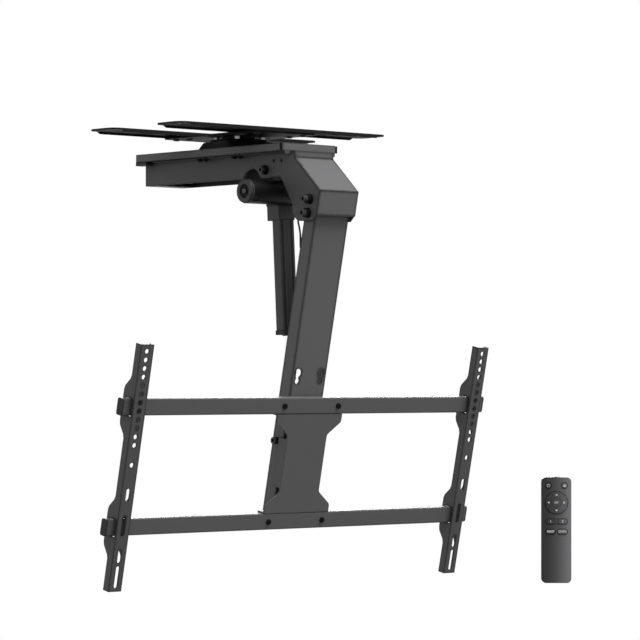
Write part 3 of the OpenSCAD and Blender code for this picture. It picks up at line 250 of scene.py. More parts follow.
# Powder coat: height from two fine patterns, a slow cloud of tone that shades the colour and
# breaks the roughness
def powderCoatGroup(values):
    v = Named(**values)
    tree, into, out = newGroup("powderCoat", dict(Grain="Float", Tone="Color", Spread="Float",
                                                  Gloss="Float"), surfaceOutputs)
    place = objectPlace(tree)
    peel = noiseNode(tree, place, into["Grain"], v.peelDetail)
    cloud = noiseNode(tree, place, v.cloudScale, v.cloudDetail)
    speck = tree.nodes.new("ShaderNodeTexVoronoi")
    feed(tree, speck.inputs["Vector"], place)
    feed(tree, speck.inputs["Scale"], mathNode(tree, "MULTIPLY", into["Grain"], v.speckFinerThanGrain))
    grain = mathNode(tree, "MULTIPLY", mathNode(tree, "SUBTRACT", peel, noiseMiddle), v.grainInShade)
    shade = mathNode(tree, "ADD", mathNode(tree, "SUBTRACT", cloud, noiseMiddle), grain)
    factor = mathNode(tree, "ADD", mathNode(tree, "MULTIPLY", shade, into["Spread"]), 1.0)
    feed(tree, out["Color"], vectorNode(tree, "SCALE", into["Tone"], factor))
    rough = mathNode(tree, "MULTIPLY", shade, v.shadeInRoughness)
    feed(tree, out["Roughness"], mathNode(tree, "ADD", into["Gloss"], rough, True))
    bumps = mathNode(tree, "MULTIPLY", speck.outputs["Distance"], v.speckInHeight)
    feed(tree, out["Height"], mathNode(tree, "ADD", peel, bumps))
    return tree


edgePattern = {
    "samples": 4,
    "sharpness": 50.0,
    "breakScale": 60.0,
    "breakDetail": 5.0,
    "breakLift": 0.6,
}


# Edge shading and wear: the mask rises where a rounded normal leaves the flat one, broken up by noise;
# its edge tone paints shade lines on the coats and, on the metals, partly wear and partly a painted
# highlight
def edgeShadingAndWearGroup(values):
    v = Named(**values)
    tree, into, out = newGroup("edgeShadingAndWear", dict(Width="Float", Amount="Float"),
                               dict(Mask="Float", Normal="Vector"))
    bevel = tree.nodes.new("ShaderNodeBevel")
    bevel.samples = v.samples
    feed(tree, bevel.inputs["Radius"], into["Width"])
    flat = tree.nodes.new("ShaderNodeNewGeometry").outputs["True Normal"]
    leaves = mathNode(tree, "SUBTRACT", 1.0, vectorNode(tree, "DOT_PRODUCT", bevel.outputs[0], flat))
    noise = noiseNode(tree, objectPlace(tree), v.breakScale, v.breakDetail)
    edge = mathNode(tree, "MULTIPLY", leaves, v.sharpness, True)
    broken = mathNode(tree, "MULTIPLY", edge, mathNode(tree, "ADD", noise, v.breakLift), True)
    feed(tree, out["Mask"], mathNode(tree, "MULTIPLY", broken, into["Amount"], True))
    feed(tree, out["Normal"], bevel.outputs[0])
    return tree


# Painted light and shade across a piece: a colour factor that grows from the low to the high value by an
# even ratio along a direction
def acrossPaintedShadeGroup():
    tree, into, out = newGroup("acrossPaintedShade", dict(Middle="Vector", Along="Vector", Reach="Float",
                                                   Low="Float", High="Float"), dict(Factor="Float"))
    centred = vectorNode(tree, "SUBTRACT", objectPlace(tree), into["Middle"])
    start = mathNode(tree, "MULTIPLY", into["Reach"], -1.0)
    span = ramp(tree, vectorNode(tree, "DOT_PRODUCT", centred, into["Along"]), 0, 1, start,
                into["Reach"], True)
    rise = mathNode(tree, "POWER", mathNode(tree, "DIVIDE", into["High"], into["Low"]), span)
    feed(tree, out["Factor"], mathNode(tree, "MULTIPLY", into["Low"], rise))
    return tree


drawnPattern = {
    "scale": 1400.0,
    "detail": 4.0,
    "spread": 0.15,
}


# Turned or drawn marks: noise stretched strongly along one axis, as height and as a shade
def drawnMarksGroup(values):
    v = Named(**values)
    tree, into, out = newGroup("drawnMarks", dict(Along="Vector", Tone="Color", Gloss="Float"),
                               surfaceOutputs)
    stretched = vectorNode(tree, "MULTIPLY", objectPlace(tree), into["Along"])
    marks = noiseNode(tree, stretched, v.scale, v.detail)
    shade = mathNode(tree, "MULTIPLY", mathNode(tree, "SUBTRACT", marks, noiseMiddle), v.spread)
    feed(tree, out["Color"], vectorNode(tree, "SCALE", into["Tone"], mathNode(tree, "ADD", shade, 1.0)))
    feed(tree, out["Roughness"], mathNode(tree, "ADD", into["Gloss"], shade, True))
    feed(tree, out["Height"], marks)
    return tree


# Painted shade inside a box: one outside it and a lower share within it
def insidePaintedShadeGroup():
    tree, into, out = newGroup("insidePaintedShade", dict(Middle="Vector", Half="Vector", Share="Float"),
                               dict(Factor="Float"))
    centred = vectorNode(tree, "SUBTRACT", objectPlace(tree), into["Middle"])
    parts, halves = (tree.nodes.new("ShaderNodeSeparateXYZ") for _ in range(2))
    feed(tree, parts.inputs[0], vectorNode(tree, "ABSOLUTE", centred))
    feed(tree, halves.inputs[0], into["Half"])
    tests = [mathNode(tree, "LESS_THAN", parts.outputs[k], halves.outputs[k]) for k in range(3)]
    within = mathNode(tree, "MULTIPLY", mathNode(tree, "MULTIPLY", tests[0], tests[1]), tests[2])
    loss = mathNode(tree, "MULTIPLY", within, mathNode(tree, "SUBTRACT", 1.0, into["Share"]))
    feed(tree, out["Factor"], mathNode(tree, "SUBTRACT", 1.0, loss))
    return tree


powderCoat = powderCoatGroup(coatPattern)
edgeShadingAndWear = edgeShadingAndWearGroup(edgePattern)
drawnMarks = drawnMarksGroup(drawnPattern)
acrossPaintedShade = acrossPaintedShadeGroup()
insidePaintedShade = insidePaintedShadeGroup()


def startMaterial(name):
    material = bpy.data.materials.new(name)
    material.use_nodes = True
    tree = material.node_tree
    return material, tree, tree.nodes["Principled BSDF"]


def groupNode(tree, group, **values):
    node = tree.nodes.new("ShaderNodeGroup")
    node.node_tree = group
    for label, value in values.items():
        node.inputs[label].default_value = value
    return node.outputs


def finishSurface(tree, bsdf, coat, edgeShading, bump, depth, edgeTone):
    # The edge mask mixes in the edge tone: painted shade lines on coats, wear and painted highlight on
    # metals
    mix = tree.nodes.new("ShaderNodeMix")
    mix.data_type = "RGBA"
    feed(tree, mix.inputs["Factor"], edgeShading["Mask"])
    feed(tree, mix.inputs["A"], coat["Color"])
    feed(tree, mix.inputs["B"], (edgeTone, edgeTone, edgeTone, 1))
    feed(tree, bsdf.inputs["Base Color"], mix.outputs["Result"])
    feed(tree, bsdf.inputs["Roughness"], coat["Roughness"])
    relief = tree.nodes.new("ShaderNodeBump")
    for label, value in (("Strength", bump), ("Distance", depth), ("Height", coat["Height"]),
                         ("Normal", edgeShading["Normal"])):
        feed(tree, relief.inputs[label], value)
    feed(tree, bsdf.inputs["Normal"], relief.outputs[0])


# Powder coat, paint or moulded plastic; along its edges the colour is mixed towards the edge tone, which
# paints a shade line where it is darker than the coat
def coated(name, tone, gloss=0.5, grain=900.0, bump=0.25, spread=0.1, specular=0.25, edge=0.0012,
           edgeAmount=0.5, edgeTone=0.012, depth=0.0002, across=None, inside=None):
    material, tree, bsdf = startMaterial(name)
    coat = groupNode(tree, powderCoat, Grain=grain, Tone=(*tone, 1), Spread=spread, Gloss=gloss)
    edgeShading = groupNode(tree, edgeShadingAndWear, Width=edge, Amount=edgeAmount)
    finishSurface(tree, bsdf, coat, edgeShading, bump, depth, edgeTone)
    colour = bsdf.inputs["Base Color"]
    # Painted light and shade: the across and inside factors scale the colour
    for group, values in ((acrossPaintedShade, across), (insidePaintedShade, inside)):
        if values:
            shade = groupNode(tree, group, **values)["Factor"]
            feed(tree, colour, vectorNode(tree, "SCALE", colour.links[0].from_socket, shade))
    bsdf.inputs["Specular IOR Level"].default_value = specular
    return material


# Bare or plated metal with its drawn or turned marks; its edges are mixed towards the edge tone, partly
# wear and partly a painted highlight on the dark metals
def bareMetal(name, tone, gloss, metallic=1.0, along=(1, 1, 0.02), bump=0.06, edgeTone=0.5, edge=0.0005,
              edgeAmount=0.3, depth=0.0001):
    material, tree, bsdf = startMaterial(name)
    coat = groupNode(tree, drawnMarks, Tone=(*tone, 1), Gloss=gloss, Along=along)
    edgeShading = groupNode(tree, edgeShadingAndWear, Width=edge, Amount=edgeAmount)
    finishSurface(tree, bsdf, coat, edgeShading, bump, depth, edgeTone)
    bsdf.inputs["Metallic"].default_value = metallic
    return material


# Painted sheen on the remote's face and keys: their colour runs from dark at the left to light at the
# right
remotePaintedSheen = {
    "Middle": (0.345, -0.479, -0.7285),
    "Along": (0.749, -0.6626, 0),
    "Reach": 0.03,
    "Low": 0.5,
    "High": 3.5,
}

# Painted light and shade on the front cover: its slope lies flatter under the lamp than its chin, so the
# colour is darkened above the fold and lightened below it
coverPaintedShade = {
    "Middle": (0, 0, -0.1205),
    "Along": (0, 0, 1.0),
    "Reach": 0.002,
    "Low": 1.2,
    "High": 0.9,
}

# Painted shade on the housing's inner faces
housingInsidePaintedShade = {
    "Middle": (0, 0, -0.1245),
    "Half": (0.0447, 0.2178, 0.075),
    "Share": 0.12,
}

# Edge tones darker than a coat's tone paint shade lines along its edges
coats = {
    "rail": dict(tone=(0.014, 0.014, 0.015), gloss=0.55, specular=0.045),
    "dish": dict(tone=(0.01, 0.01, 0.011), specular=0.06),
    "housing": dict(tone=(0.088, 0.088, 0.091), edgeAmount=0.9, edge=0.004, edgeTone=0.003),
    # The shell's inner faces carry painted shade
    "housingShell": dict(tone=(0.08, 0.08, 0.083), edgeAmount=0.9, edge=0.004, edgeTone=0.003,
                         inside=housingInsidePaintedShade),
    "arm": dict(tone=(0.115, 0.115, 0.118), edgeAmount=1.0, edge=0.0065, edgeTone=0.001),
    # The cover carries painted light and shade about its fold
    "cover": dict(tone=(0.1, 0.1, 0.103), edgeAmount=1.0, edge=0.0065, edgeTone=0.001, across=coverPaintedShade),
    "tray": dict(tone=(0.108, 0.108, 0.111), edgeAmount=0.9, edge=0.003, edgeTone=0.003),
    "bar": dict(tone=(0.1, 0.1, 0.103), edgeAmount=0.7, edge=0.0015, edgeTone=0.01),
    "bracket": dict(tone=(0.077, 0.077, 0.08), spread=0.16, edgeAmount=1.0, edge=0.004, edgeTone=0.002),
    "motor": dict(tone=(0.004, 0.004, 0.0045), gloss=0.42, bump=0.12, specular=0.2, edgeAmount=0.2),
    "motorEnd": dict(tone=(0.05, 0.05, 0.052), grain=500.0, bump=0.4, edgeAmount=1.0, edge=0.0025,
                     edgeTone=0.006),
    "tube": dict(tone=(0.05, 0.05, 0.053), gloss=0.42, bump=0.08, edgeAmount=0.8, edge=0.002),
    "plastic": dict(tone=(0.02, 0.02, 0.021), gloss=0.55, edgeAmount=0.15),
    "rubber": dict(tone=(0.008, 0.008, 0.008), gloss=0.7, grain=1400.0, edgeAmount=0.0, specular=0.15),
    "shoulder": dict(tone=(0.004, 0.004, 0.004), gloss=0.55, bump=0.1, edgeAmount=0.0, specular=0.08),
    "nylon": dict(tone=(0.72, 0.71, 0.67), gloss=0.45, bump=0.05, edgeAmount=0.0),
    "lockNylon": dict(tone=(0.02, 0.05, 0.12), gloss=0.45, bump=0.05, edgeAmount=0.0),
    "board": dict(tone=(0.03, 0.16, 0.07), gloss=0.3, bump=0.05, edgeAmount=0.0),
    "sheath": dict(tone=(0.01, 0.01, 0.01), bump=0.1, edgeAmount=0.0),
    # The remote and its keys carry the painted sheen
    "remote": dict(tone=(0.061, 0.061, 0.063), gloss=0.6, bump=0.0, spread=0.04, edgeAmount=0.6, edge=0.0016,
                   specular=0.2, across=remotePaintedSheen),
    "remoteBack": dict(tone=(0.03, 0.03, 0.031), gloss=0.55, edgeAmount=0.1, edge=0.002),
    "keys": dict(tone=(0.051, 0.051, 0.053), gloss=0.42, bump=0.05, spread=0.04, edgeAmount=0.9, edge=0.0005,
                 specular=0.2, across=remotePaintedSheen),
    "grooveShade": dict(tone=(0.012, 0.012, 0.012), gloss=0.6, bump=0.02, edgeAmount=0.0, specular=0.1),
    "ink": dict(tone=(0.82, 0.82, 0.82), bump=0.02, spread=0.03, edgeAmount=0.0),
    "lens": dict(tone=(0.01, 0.004, 0.005), gloss=0.08, bump=0.0, edgeAmount=0.0, specular=0.6),
}

# Edge tones lighter than a dark metal's tone paint highlight rims, partly wear too
metals = {
    "fastener": dict(tone=(0.02, 0.02, 0.021), gloss=0.36, metallic=0.4, edgeTone=0.2),
    "blackScrew": dict(tone=(0.006, 0.006, 0.006), gloss=0.5, metallic=0.2, edgeTone=0.03),
    "hubSteel": dict(tone=(0.07, 0.07, 0.072), gloss=0.5, metallic=0.5, edgeTone=0.06),
    "zinc": dict(tone=(0.62, 0.63, 0.65), gloss=0.3),
    "weld": dict(tone=(0.03, 0.03, 0.031), gloss=0.4, metallic=0.2, along=(1, 1, 1), bump=0.3,
                 edgeTone=0.05),
    "chrome": dict(tone=(0.93, 0.93, 0.94), gloss=0.14, along=(1, 1, 0.004), bump=0.02),
    "brass": dict(tone=(0.72, 0.5, 0.2), gloss=0.25),
}

materials = {key: coated(key + "Finish", **values) for key, values in coats.items()}
materials.update((key, bareMetal(key + "Finish", **values)) for key, values in metals.items())

nodeMaterials = {
    "rail": ["ceiling_rail_front", "ceiling_rail_rear", "cross_plate", "swivel_hub", "bearing_plate"],
    "dish": ["swivel_dish"],
    "housing": ["bottom_cover"],
    "tray": ["top_cover"],
    "cover": ["front_cover"],
    "housingShell": ["housing_shell"],
    "arm": ["arm"],
    "bar": ["centre_plate", "upper_bar", "lower_bar"],
    "bracket": ["bracket_left", "bracket_right"],
    "motor": ["motor_can", "gearbox"],
    "motorEnd": ["motor_end_bell"],
    "tube": ["tube_collar", "actuator_tube"],
    "plastic": ["corner_pads", "controller_case", "power_inlet", "tube_end_cap", "bar_end_caps"],
    "fastener": ["swivel_bolt", "cross_bolts", "rod_pin_bolts", "rod_eye"],
    "blackScrew": ["rail_bolts", "flange_bolts"],
    "shoulder": ["cheek_screws", "bar_screws"],
    "zinc": ["post_spacers", "post_bolts", "swivel_nut", "stop_peg", "stop_sleeve",
             "actuator_bushes", "hook_studs", "lead_screw"],
    "chrome": ["actuator_rod"],
    "nylon": ["glide_ring", "pivot_washers", "drive_nut"],
    "board": ["controller_board"],
    "sheath": ["arm_cable"],
    "remote": ["remote_front_shell"],
    "remoteBack": ["remote_back_shell", "battery_door"],
    "keys": ["power_button", "home_button", "direction_ring", "middle_button", "left_button",
             "right_button", "lower_left_button", "lower_right_button"],
}

for key, names in nodeMaterials.items():
    for name in names:
        obj = nodes[name]
        if not obj.data.materials:
            obj.data.materials.append(materials[key])
        for materialSlot in obj.material_slots:
            materialSlot.material = materials[key]
print("materials set")


# Places of the moving frames, in metres, as in the part's own drawing
layout = {
    "pivot": (0, -0.2445, -0.160),
    "stopRise": 0.025,       # stop bolt above the pivot, along the arm
    "armLean": 12.3,         # degrees
    "topPin": (-0.008, -0.128, -0.078),
    "actuatorLean": -3.2668,
    "remote": (0.345, -0.479, -0.7285),
    "remoteTurn": -41.5,
    "housingHalf": 0.046,
}

leftward, rightward, downward = (-1, 0, 0), (1, 0, 0), (0, 0, -1)


# Carries points of a moving frame into the world: a turn from one axis towards another, then a shift
def carried(points, place, angle, fromAxis, toAxis):
    c, s = math.cos(math.radians(angle)), math.sin(math.radians(angle))
    turn = np.eye(3)
    turn[fromAxis, fromAxis] = turn[toAxis, toAxis] = c
    turn[fromAxis, toAxis], turn[toAxis, fromAxis] = -s, s
    return np.asarray(points, float) @ turn.T + np.array(place)


def onArm(points):
    return carried(points, layout["pivot"], layout["armLean"], 1, 2)


def onActuator(points):
    return carried(points, layout["topPin"], layout["actuatorLean"], 1, 2)


def onRemote(points):
    return carried(points, layout["remote"], layout["remoteTurn"], 0, 1)


# Faces of a grid: each point joins its neighbours, and a wrapped side joins its last row to its first
def gridFaces(rows, columns, wrapRows, wrapColumns):
    i = np.arange(rows if wrapRows else rows - 1)
    j = np.arange(columns if wrapColumns else columns - 1)
    i, j = (a.ravel() for a in np.meshgrid(i, j, indexing="ij"))
    nextI, nextJ = (i + 1) % rows, (j + 1) % columns
    here, onward = i * columns, nextI * columns
    return np.stack((here + j, onward + j, onward + nextJ, here + nextJ), 1)


# Six times the volume inside a mesh: the sum over its triangles of a dot (b cross c)
def insideOut(points, quads):
    a, b, c, d = (points[quads[:, k]] for k in range(4))
    return (np.einsum("ij,ij->i", a, np.cross(b, c)).sum()
            + np.einsum("ij,ij->i", a, np.cross(c, d)).sum()) < 0


# Joins closed grids (row, column, xyz) into one piece; the ends of a grid are capped, and a loop's
# last row meets its first. Edges sharper than the given angle, in degrees, stay sharp
def addPiece(name, body, material, grids=(), loops=(), sharp=35.0):
    allPoints, allFaces, start = [], [], 0
    for grid, wrapped in [(g, False) for g in grids] + [(g, True) for g in loops]:
        rows, columns = grid.shape[:2]
        points = grid.reshape(-1, 3)
        quads = gridFaces(rows, columns, wrapped, True)
        faces = quads.tolist()
        if not wrapped:
            faces += [list(range(columns))[::-1], list(range((rows - 1) * columns, rows * columns))]
        if insideOut(points - points.mean(0), quads):
            faces = [face[::-1] for face in faces]
        allPoints.append(points)
        allFaces += [[v + start for v in face] for face in faces]
        start += len(points)
    mesh = bpy.data.meshes.new(name)
    mesh.from_pydata(np.concatenate(allPoints).tolist(), [], allFaces)
    mesh.shade_smooth()
    mesh.set_sharp_from_angle(angle=math.radians(sharp))
    return finishPiece(name, mesh, body, material)


def finishPiece(name, mesh, body, material):
    mesh.materials.clear()
    mesh.materials.append(materials[material])
    piece = addObject(name, mesh)
    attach(piece, body)
    return piece


# Two directions square to an axis, so that side, other and axis make a right-handed frame
def axisFrame(axis):
    axis = np.asarray(axis, float) / np.linalg.norm(axis)
    helper = np.array((0, 0, 1.0)) if abs(axis[2]) < 0.9 else np.array((0, 1.0, 0))
    side = np.cross(helper, axis)
    side /= np.linalg.norm(side)
    return side, np.cross(axis, side), axis


def ringAngles(sides):
    return np.linspace(0, 2 * np.pi, sides, endpoint=False)


# A turned shape: the radius of each row is carried round the axis; radius may also vary with the angle
def turned(radii, heights, place, axis, sides=48):
    side, other, axis = axisFrame(axis)
    angle = ringAngles(sides)
    radii, heights = (np.asarray(a, float) for a in (radii, heights))
    radii, heights = (a if a.ndim > 1 else np.repeat(a[:, None], sides, 1) for a in (radii, heights))
    ring = np.cos(angle)[:, None] * side + np.sin(angle)[:, None] * other
    return np.asarray(place, float) + radii[..., None] * ring + heights[..., None] * axis


# Radius of a hexagon at each angle: half its width over the cosine of the angle from a flat's middle
def hexRadius(angle, width):
    fromFlat = (angle + np.pi / 6) % (np.pi / 3) - np.pi / 6
    return width / 2 / np.cos(fromFlat)


# A cap closes on a small flat face, whose radius is this share of the piece's
centreShare = 0.02

nutShape = {
    "sides": 72,
    "chamferSlope": 0.55,    # height lost for each unit that a corner stands out
    "flatShare": 0.96,
    "boreChamfer": 0.08,
    "threadSides": 36,
    "threadDepth": 0.055,    # in thread diameters, as is the pitch
    "threadPitch": 0.16,
    "rowsPerPitch": 8,
    "leastRows": 6,
    "tipShare": 0.85,        # radius at the thread's end, and how it grows over the first turn
    "tipRise": 0.5,
    "tipPitches": 0.8,
}


# A nut: a ring whose outer radius is the hexagon's, cut by a cone at both faces
def nutGrid(place, axis, width, height, bore, values=nutShape):
    v = Named(**values)
    outer = hexRadius(ringAngles(v.sides), width)
    drop = (outer - width / 2) * v.chamferSlope
    flat = np.full_like(outer, width / 2 * v.flatShare)
    hole = np.full_like(outer, bore / 2)
    mouth = hole * (1 + v.boreChamfer)
    lip = bore * v.boreChamfer / 2
    zero = np.zeros_like(outer)
    radii = np.stack((hole, mouth, flat, outer, outer, flat, mouth, hole))
    heights = np.stack((zero + lip, zero, zero, drop, height - drop, zero + height, zero + height,
                        zero + height - lip))
    return turned(radii, heights, place, axis, v.sides)


# A threaded end: the radius rises and falls as a triangle wave of height less angle, so it winds
def threadGrid(place, axis, diameter, length, values=nutShape):
    v = Named(**values)
    pitch = diameter * v.threadPitch
    height = np.linspace(0, length, max(v.leastRows, int(length / pitch * v.rowsPerPitch)))[:, None]
    angle = ringAngles(v.threadSides)[None, :]
    wave = np.abs(((height / pitch - angle / (2 * np.pi)) % 1.0) * 2 - 1)
    fromTip = np.clip((length - height) / (pitch * v.tipPitches), 0, 1)
    taper = np.minimum(1, v.tipShare + v.tipRise * fromTip)
    radii = diameter / 2 * (1 - 2 * v.threadDepth * wave) * taper
    return turned(radii, height + 0 * angle, place, axis, v.threadSides)


capShape = {
    "sides": 72,
    "edge": 0.08,            # rounding of the rim, in head radii
    "knurls": 30,
    "knurlDepth": 0.025,
    "mouthShare": 1.06,
    "coneShare": 1.12,
}


# A cap head with a hexagon socket: out along the foot, up the knurled side, over the rim, down
# the hexagon and in to the middle of the socket's floor
def socketHeadGrid(place, axis, diameter, height, key, depth, knurled=True, values=capShape):
    v = Named(**values)
    angle = ringAngles(v.sides)
    r = diameter / 2
    edge = v.edge * r
    knurl = v.knurlDepth * r * np.abs(np.sin(angle * v.knurls / 2)) if knurled else 0
    socket = hexRadius(angle, key)
    one = np.ones_like(angle)
    radii = np.stack((r * centreShare * one, (r - edge) * one, r * one, (r - knurl) * one,
                      (r - knurl) * one, r * one, (r - edge) * one, socket * v.mouthShare, socket,
                      socket, socket * centreShare))
    heights = (0, 0, edge, 2 * edge, height - 2 * edge, height - edge, height, height, height - edge / 2,
               height - depth, height - depth * v.coneShare)
    return turned(radii, heights, place, axis, v.sides)


# A plain round step with chamfered rims
def stepGrid(place, axis, diameter, length, chamfer=0.0005):
    r = diameter / 2
    return turned([r * centreShare, r - chamfer, r, r, r - chamfer, r * centreShare],
                  [0, 0, chamfer, length - chamfer, length, length], place, axis)


# Bolts across the housing: the ear's two stand further out; each has a shoulder, a knurled cap
# with a hexagon socket, and at the right a chamfered lock nut on a threaded end
crossBoltSizes = {
    "shank": 0.010,
    "stands": (0.0155, 0.0175, 0.0125),      # pivot, stop and upper pin, outside the left cheek
    "shoulderShare": 0.5,
    "shoulderWidth": 0.017,
    "shoulderChamfer": 0.001,
    "headWidth": 0.0125,
    "key": 0.006,
    "socketShare": 0.85,
    "nutWidth": 0.0155,
    "nutHeight": 0.0072,
    "endStand": 0.0084,
    "washerWidth": 0.0185,
    "washerHeight": 0.0012,
    "washerChamfer": 0.0003,
    "collarShares": (1.02, 1.02, 1.2, 1.32, 1.32),
    "collarRises": (0.0009, 0.0011, 0.0006),
    "collarFootShare": 0.9,
}


def makeCrossBolts(values):
    v = Named(**values)
    half = layout["housingHalf"]
    places = (layout["pivot"], onArm([(0, 0, layout["stopRise"])])[0], layout["topPin"])
    collarRadii = np.array(v.collarShares) * v.shank / 2
    foot = v.nutHeight * v.collarFootShare
    collarHeights = [foot, *(v.nutHeight + rise for rise in v.collarRises), foot]
    shoulders, heads, collars = [], [], []
    for (_, y, z), stand in zip(places, v.stands):
        shoulder = stand * v.shoulderShare
        cap = stand - shoulder
        near, far = (-half, y, z), (half, y, z)
        shoulders.append(stepGrid(near, leftward, v.washerWidth, v.washerHeight, v.washerChamfer))
        shoulders.append(stepGrid((-half - v.washerHeight, y, z), leftward, v.shoulderWidth,
                                  shoulder - v.washerHeight, v.shoulderChamfer))
        heads.append(stepGrid(far, leftward, v.shank, 2 * half))
        heads.append(socketHeadGrid((-half - shoulder, y, z), leftward, v.headWidth, cap, v.key,
                                    cap * v.socketShare))
        heads.append(nutGrid(far, rightward, v.nutWidth, v.nutHeight, v.shank))
        heads.append(threadGrid(far, rightward, v.shank, v.endStand))
        collars.append(turned(collarRadii, collarHeights, far, rightward))
    piece = addPiece("crossBoltSet", "housing", "fastener", heads)
    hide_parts("cross_bolts")
    addPiece("crossBoltShoulders", "housing", "shoulder", shoulders)
    addPiece("lockNutRings", "housing", "lockNylon", loops=collars)


makeCrossBolts(crossBoltSizes)
print("cross bolts made")


# Studs and nuts under the top cover's flanges
flangeNutSizes = {
    "studWidth": 0.006,
    "studTop": -0.0355,
    "nutTop": -0.0495,
    "nutWidth": 0.0096,
    "nutHeight": 0.0042,
    "endStand": 0.0012,
    "across": 0.056,
    "middles": (0.0374, -0.06138),
    "pairing": 0.0085,
}


def makeFlangeNuts(values):
    v = Named(**values)
    grids = []
    for x in (-v.across, v.across):
        for y in (middle + side * v.pairing for middle in v.middles for side in (-1, 1)):
            top = (x, y, v.nutTop)
            grids.append(stepGrid((x, y, v.studTop), downward, v.studWidth, v.studTop - v.nutTop))
            grids.append(nutGrid(top, downward, v.nutWidth, v.nutHeight, v.studWidth))
            grids.append(threadGrid(top, downward, v.studWidth, v.nutHeight + v.endStand))
    piece = addPiece("flangeNutSet", "housing", "shoulder", grids)
    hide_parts("flange_bolts")


makeFlangeNuts(flangeNutSizes)
print("flange nuts made")


# Bolts that hold the cross plate to the rails: low domed heads below, thin nuts inside the rails
railBoltSizes = {
    "across": 0.055,
    "alongs": (-0.116, -0.078, 0.078, 0.116),
    "shank": 0.008,
    "shankChamfer": 0.0004,
    "plateBottom": -0.010,
    "headWidth": 0.0128,
    "headHeight": 0.0028,
    "sides": 72,
    "domeRows": 8,
    "domeFlatShare": 0.62,
    "rimShare": 0.3,
    "key": 0.005,
    "socketRows": ((1.05, 1.0), (1.0, 0.94), (1.0, 0.25), (centreShare, 0.2)),   # of key, of height
    "nutBottom": -0.007,
    "nutWidth": 0.0128,
    "nutHeight": 0.004,
    "end": -0.0004,
}


def makeRailBolts(values):
    v = Named(**values)
    r, h = v.headWidth / 2, v.headHeight
    key = hexRadius(ringAngles(v.sides), v.key)
    one = np.ones(v.sides)
    flat, rim = v.domeFlatShare, v.rimShare
    rows = [(r * centreShare * one, 0), (r * one, 0)]
    rows += [(r * (flat + (1 - flat) * math.cos(t)) * one, h * (rim + (1 - rim) * math.sin(t)))
             for t in np.linspace(0, np.pi / 2, v.domeRows)]
    rows += [(key * across, h * up) for across, up in v.socketRows]
    radii, heights = np.stack([row[0] for row in rows]), [row[1] for row in rows]
    grids = []
    for x in (-v.across, v.across):
        for y in v.alongs:
            bottom = (x, y, v.plateBottom)
            grids.append(turned(radii, heights, bottom, downward, v.sides))
            grids.append(stepGrid(bottom, (0, 0, 1), v.shank, v.end - v.plateBottom, v.shankChamfer))
            grids.append(nutGrid((x, y, v.nutBottom), (0, 0, 1), v.nutWidth, v.nutHeight, v.shank))
    piece = addPiece("railBoltSet", "ceiling_frame", "blackScrew", grids)
    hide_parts("rail_bolts")


makeRailBolts(railBoltSizes)
print("rail bolts made")


# Open corners at the tray's front: a near-black piece fills the left slot as painted shade of the open
# corner, and a weld fills the right one
cornerFillSizes = {
    "x": 0.066,
    "y": -0.198,
    "top": -0.0337,
    "bottom": -0.0466,
    "frontReach": 0.0006,
    "sideReach": 0.0062,
    "proud": 0.00015,
    "sunk": 0.0012,
    "inset": 0.0002,
    "ease": 0.0004,
    "easeShare": 0.97,
}


# The section is an angle that wraps the corner; it is carried upwards with eased ends
def cornerFillGrid(side, values):
    v = Named(**values)
    section = np.array(((-v.frontReach, -v.proud), (-v.inset, -v.proud), (v.proud, v.inset),
                        (v.proud, v.sideReach), (-v.sunk, v.sideReach), (-v.sunk, v.sunk),
                        (-v.frontReach, v.sunk)))
    section = section * (side, 1) + (side * v.x, v.y)
    middle = section.mean(0)
    rows = []
    for height, share in ((v.bottom, v.easeShare), (v.bottom + v.ease, 1), (v.top - v.ease, 1),
                          (v.top, v.easeShare)):
        flat = middle + (section - middle) * share
        rows.append(np.column_stack((flat, np.full(len(flat), height))))
    return np.array(rows)


addPiece("cornerShadeFill", "housing", "shoulder", [cornerFillGrid(-1, cornerFillSizes)])
addPiece("cornerWeld", "housing", "tray", [cornerFillGrid(1, cornerFillSizes)])
print("corner pieces made")


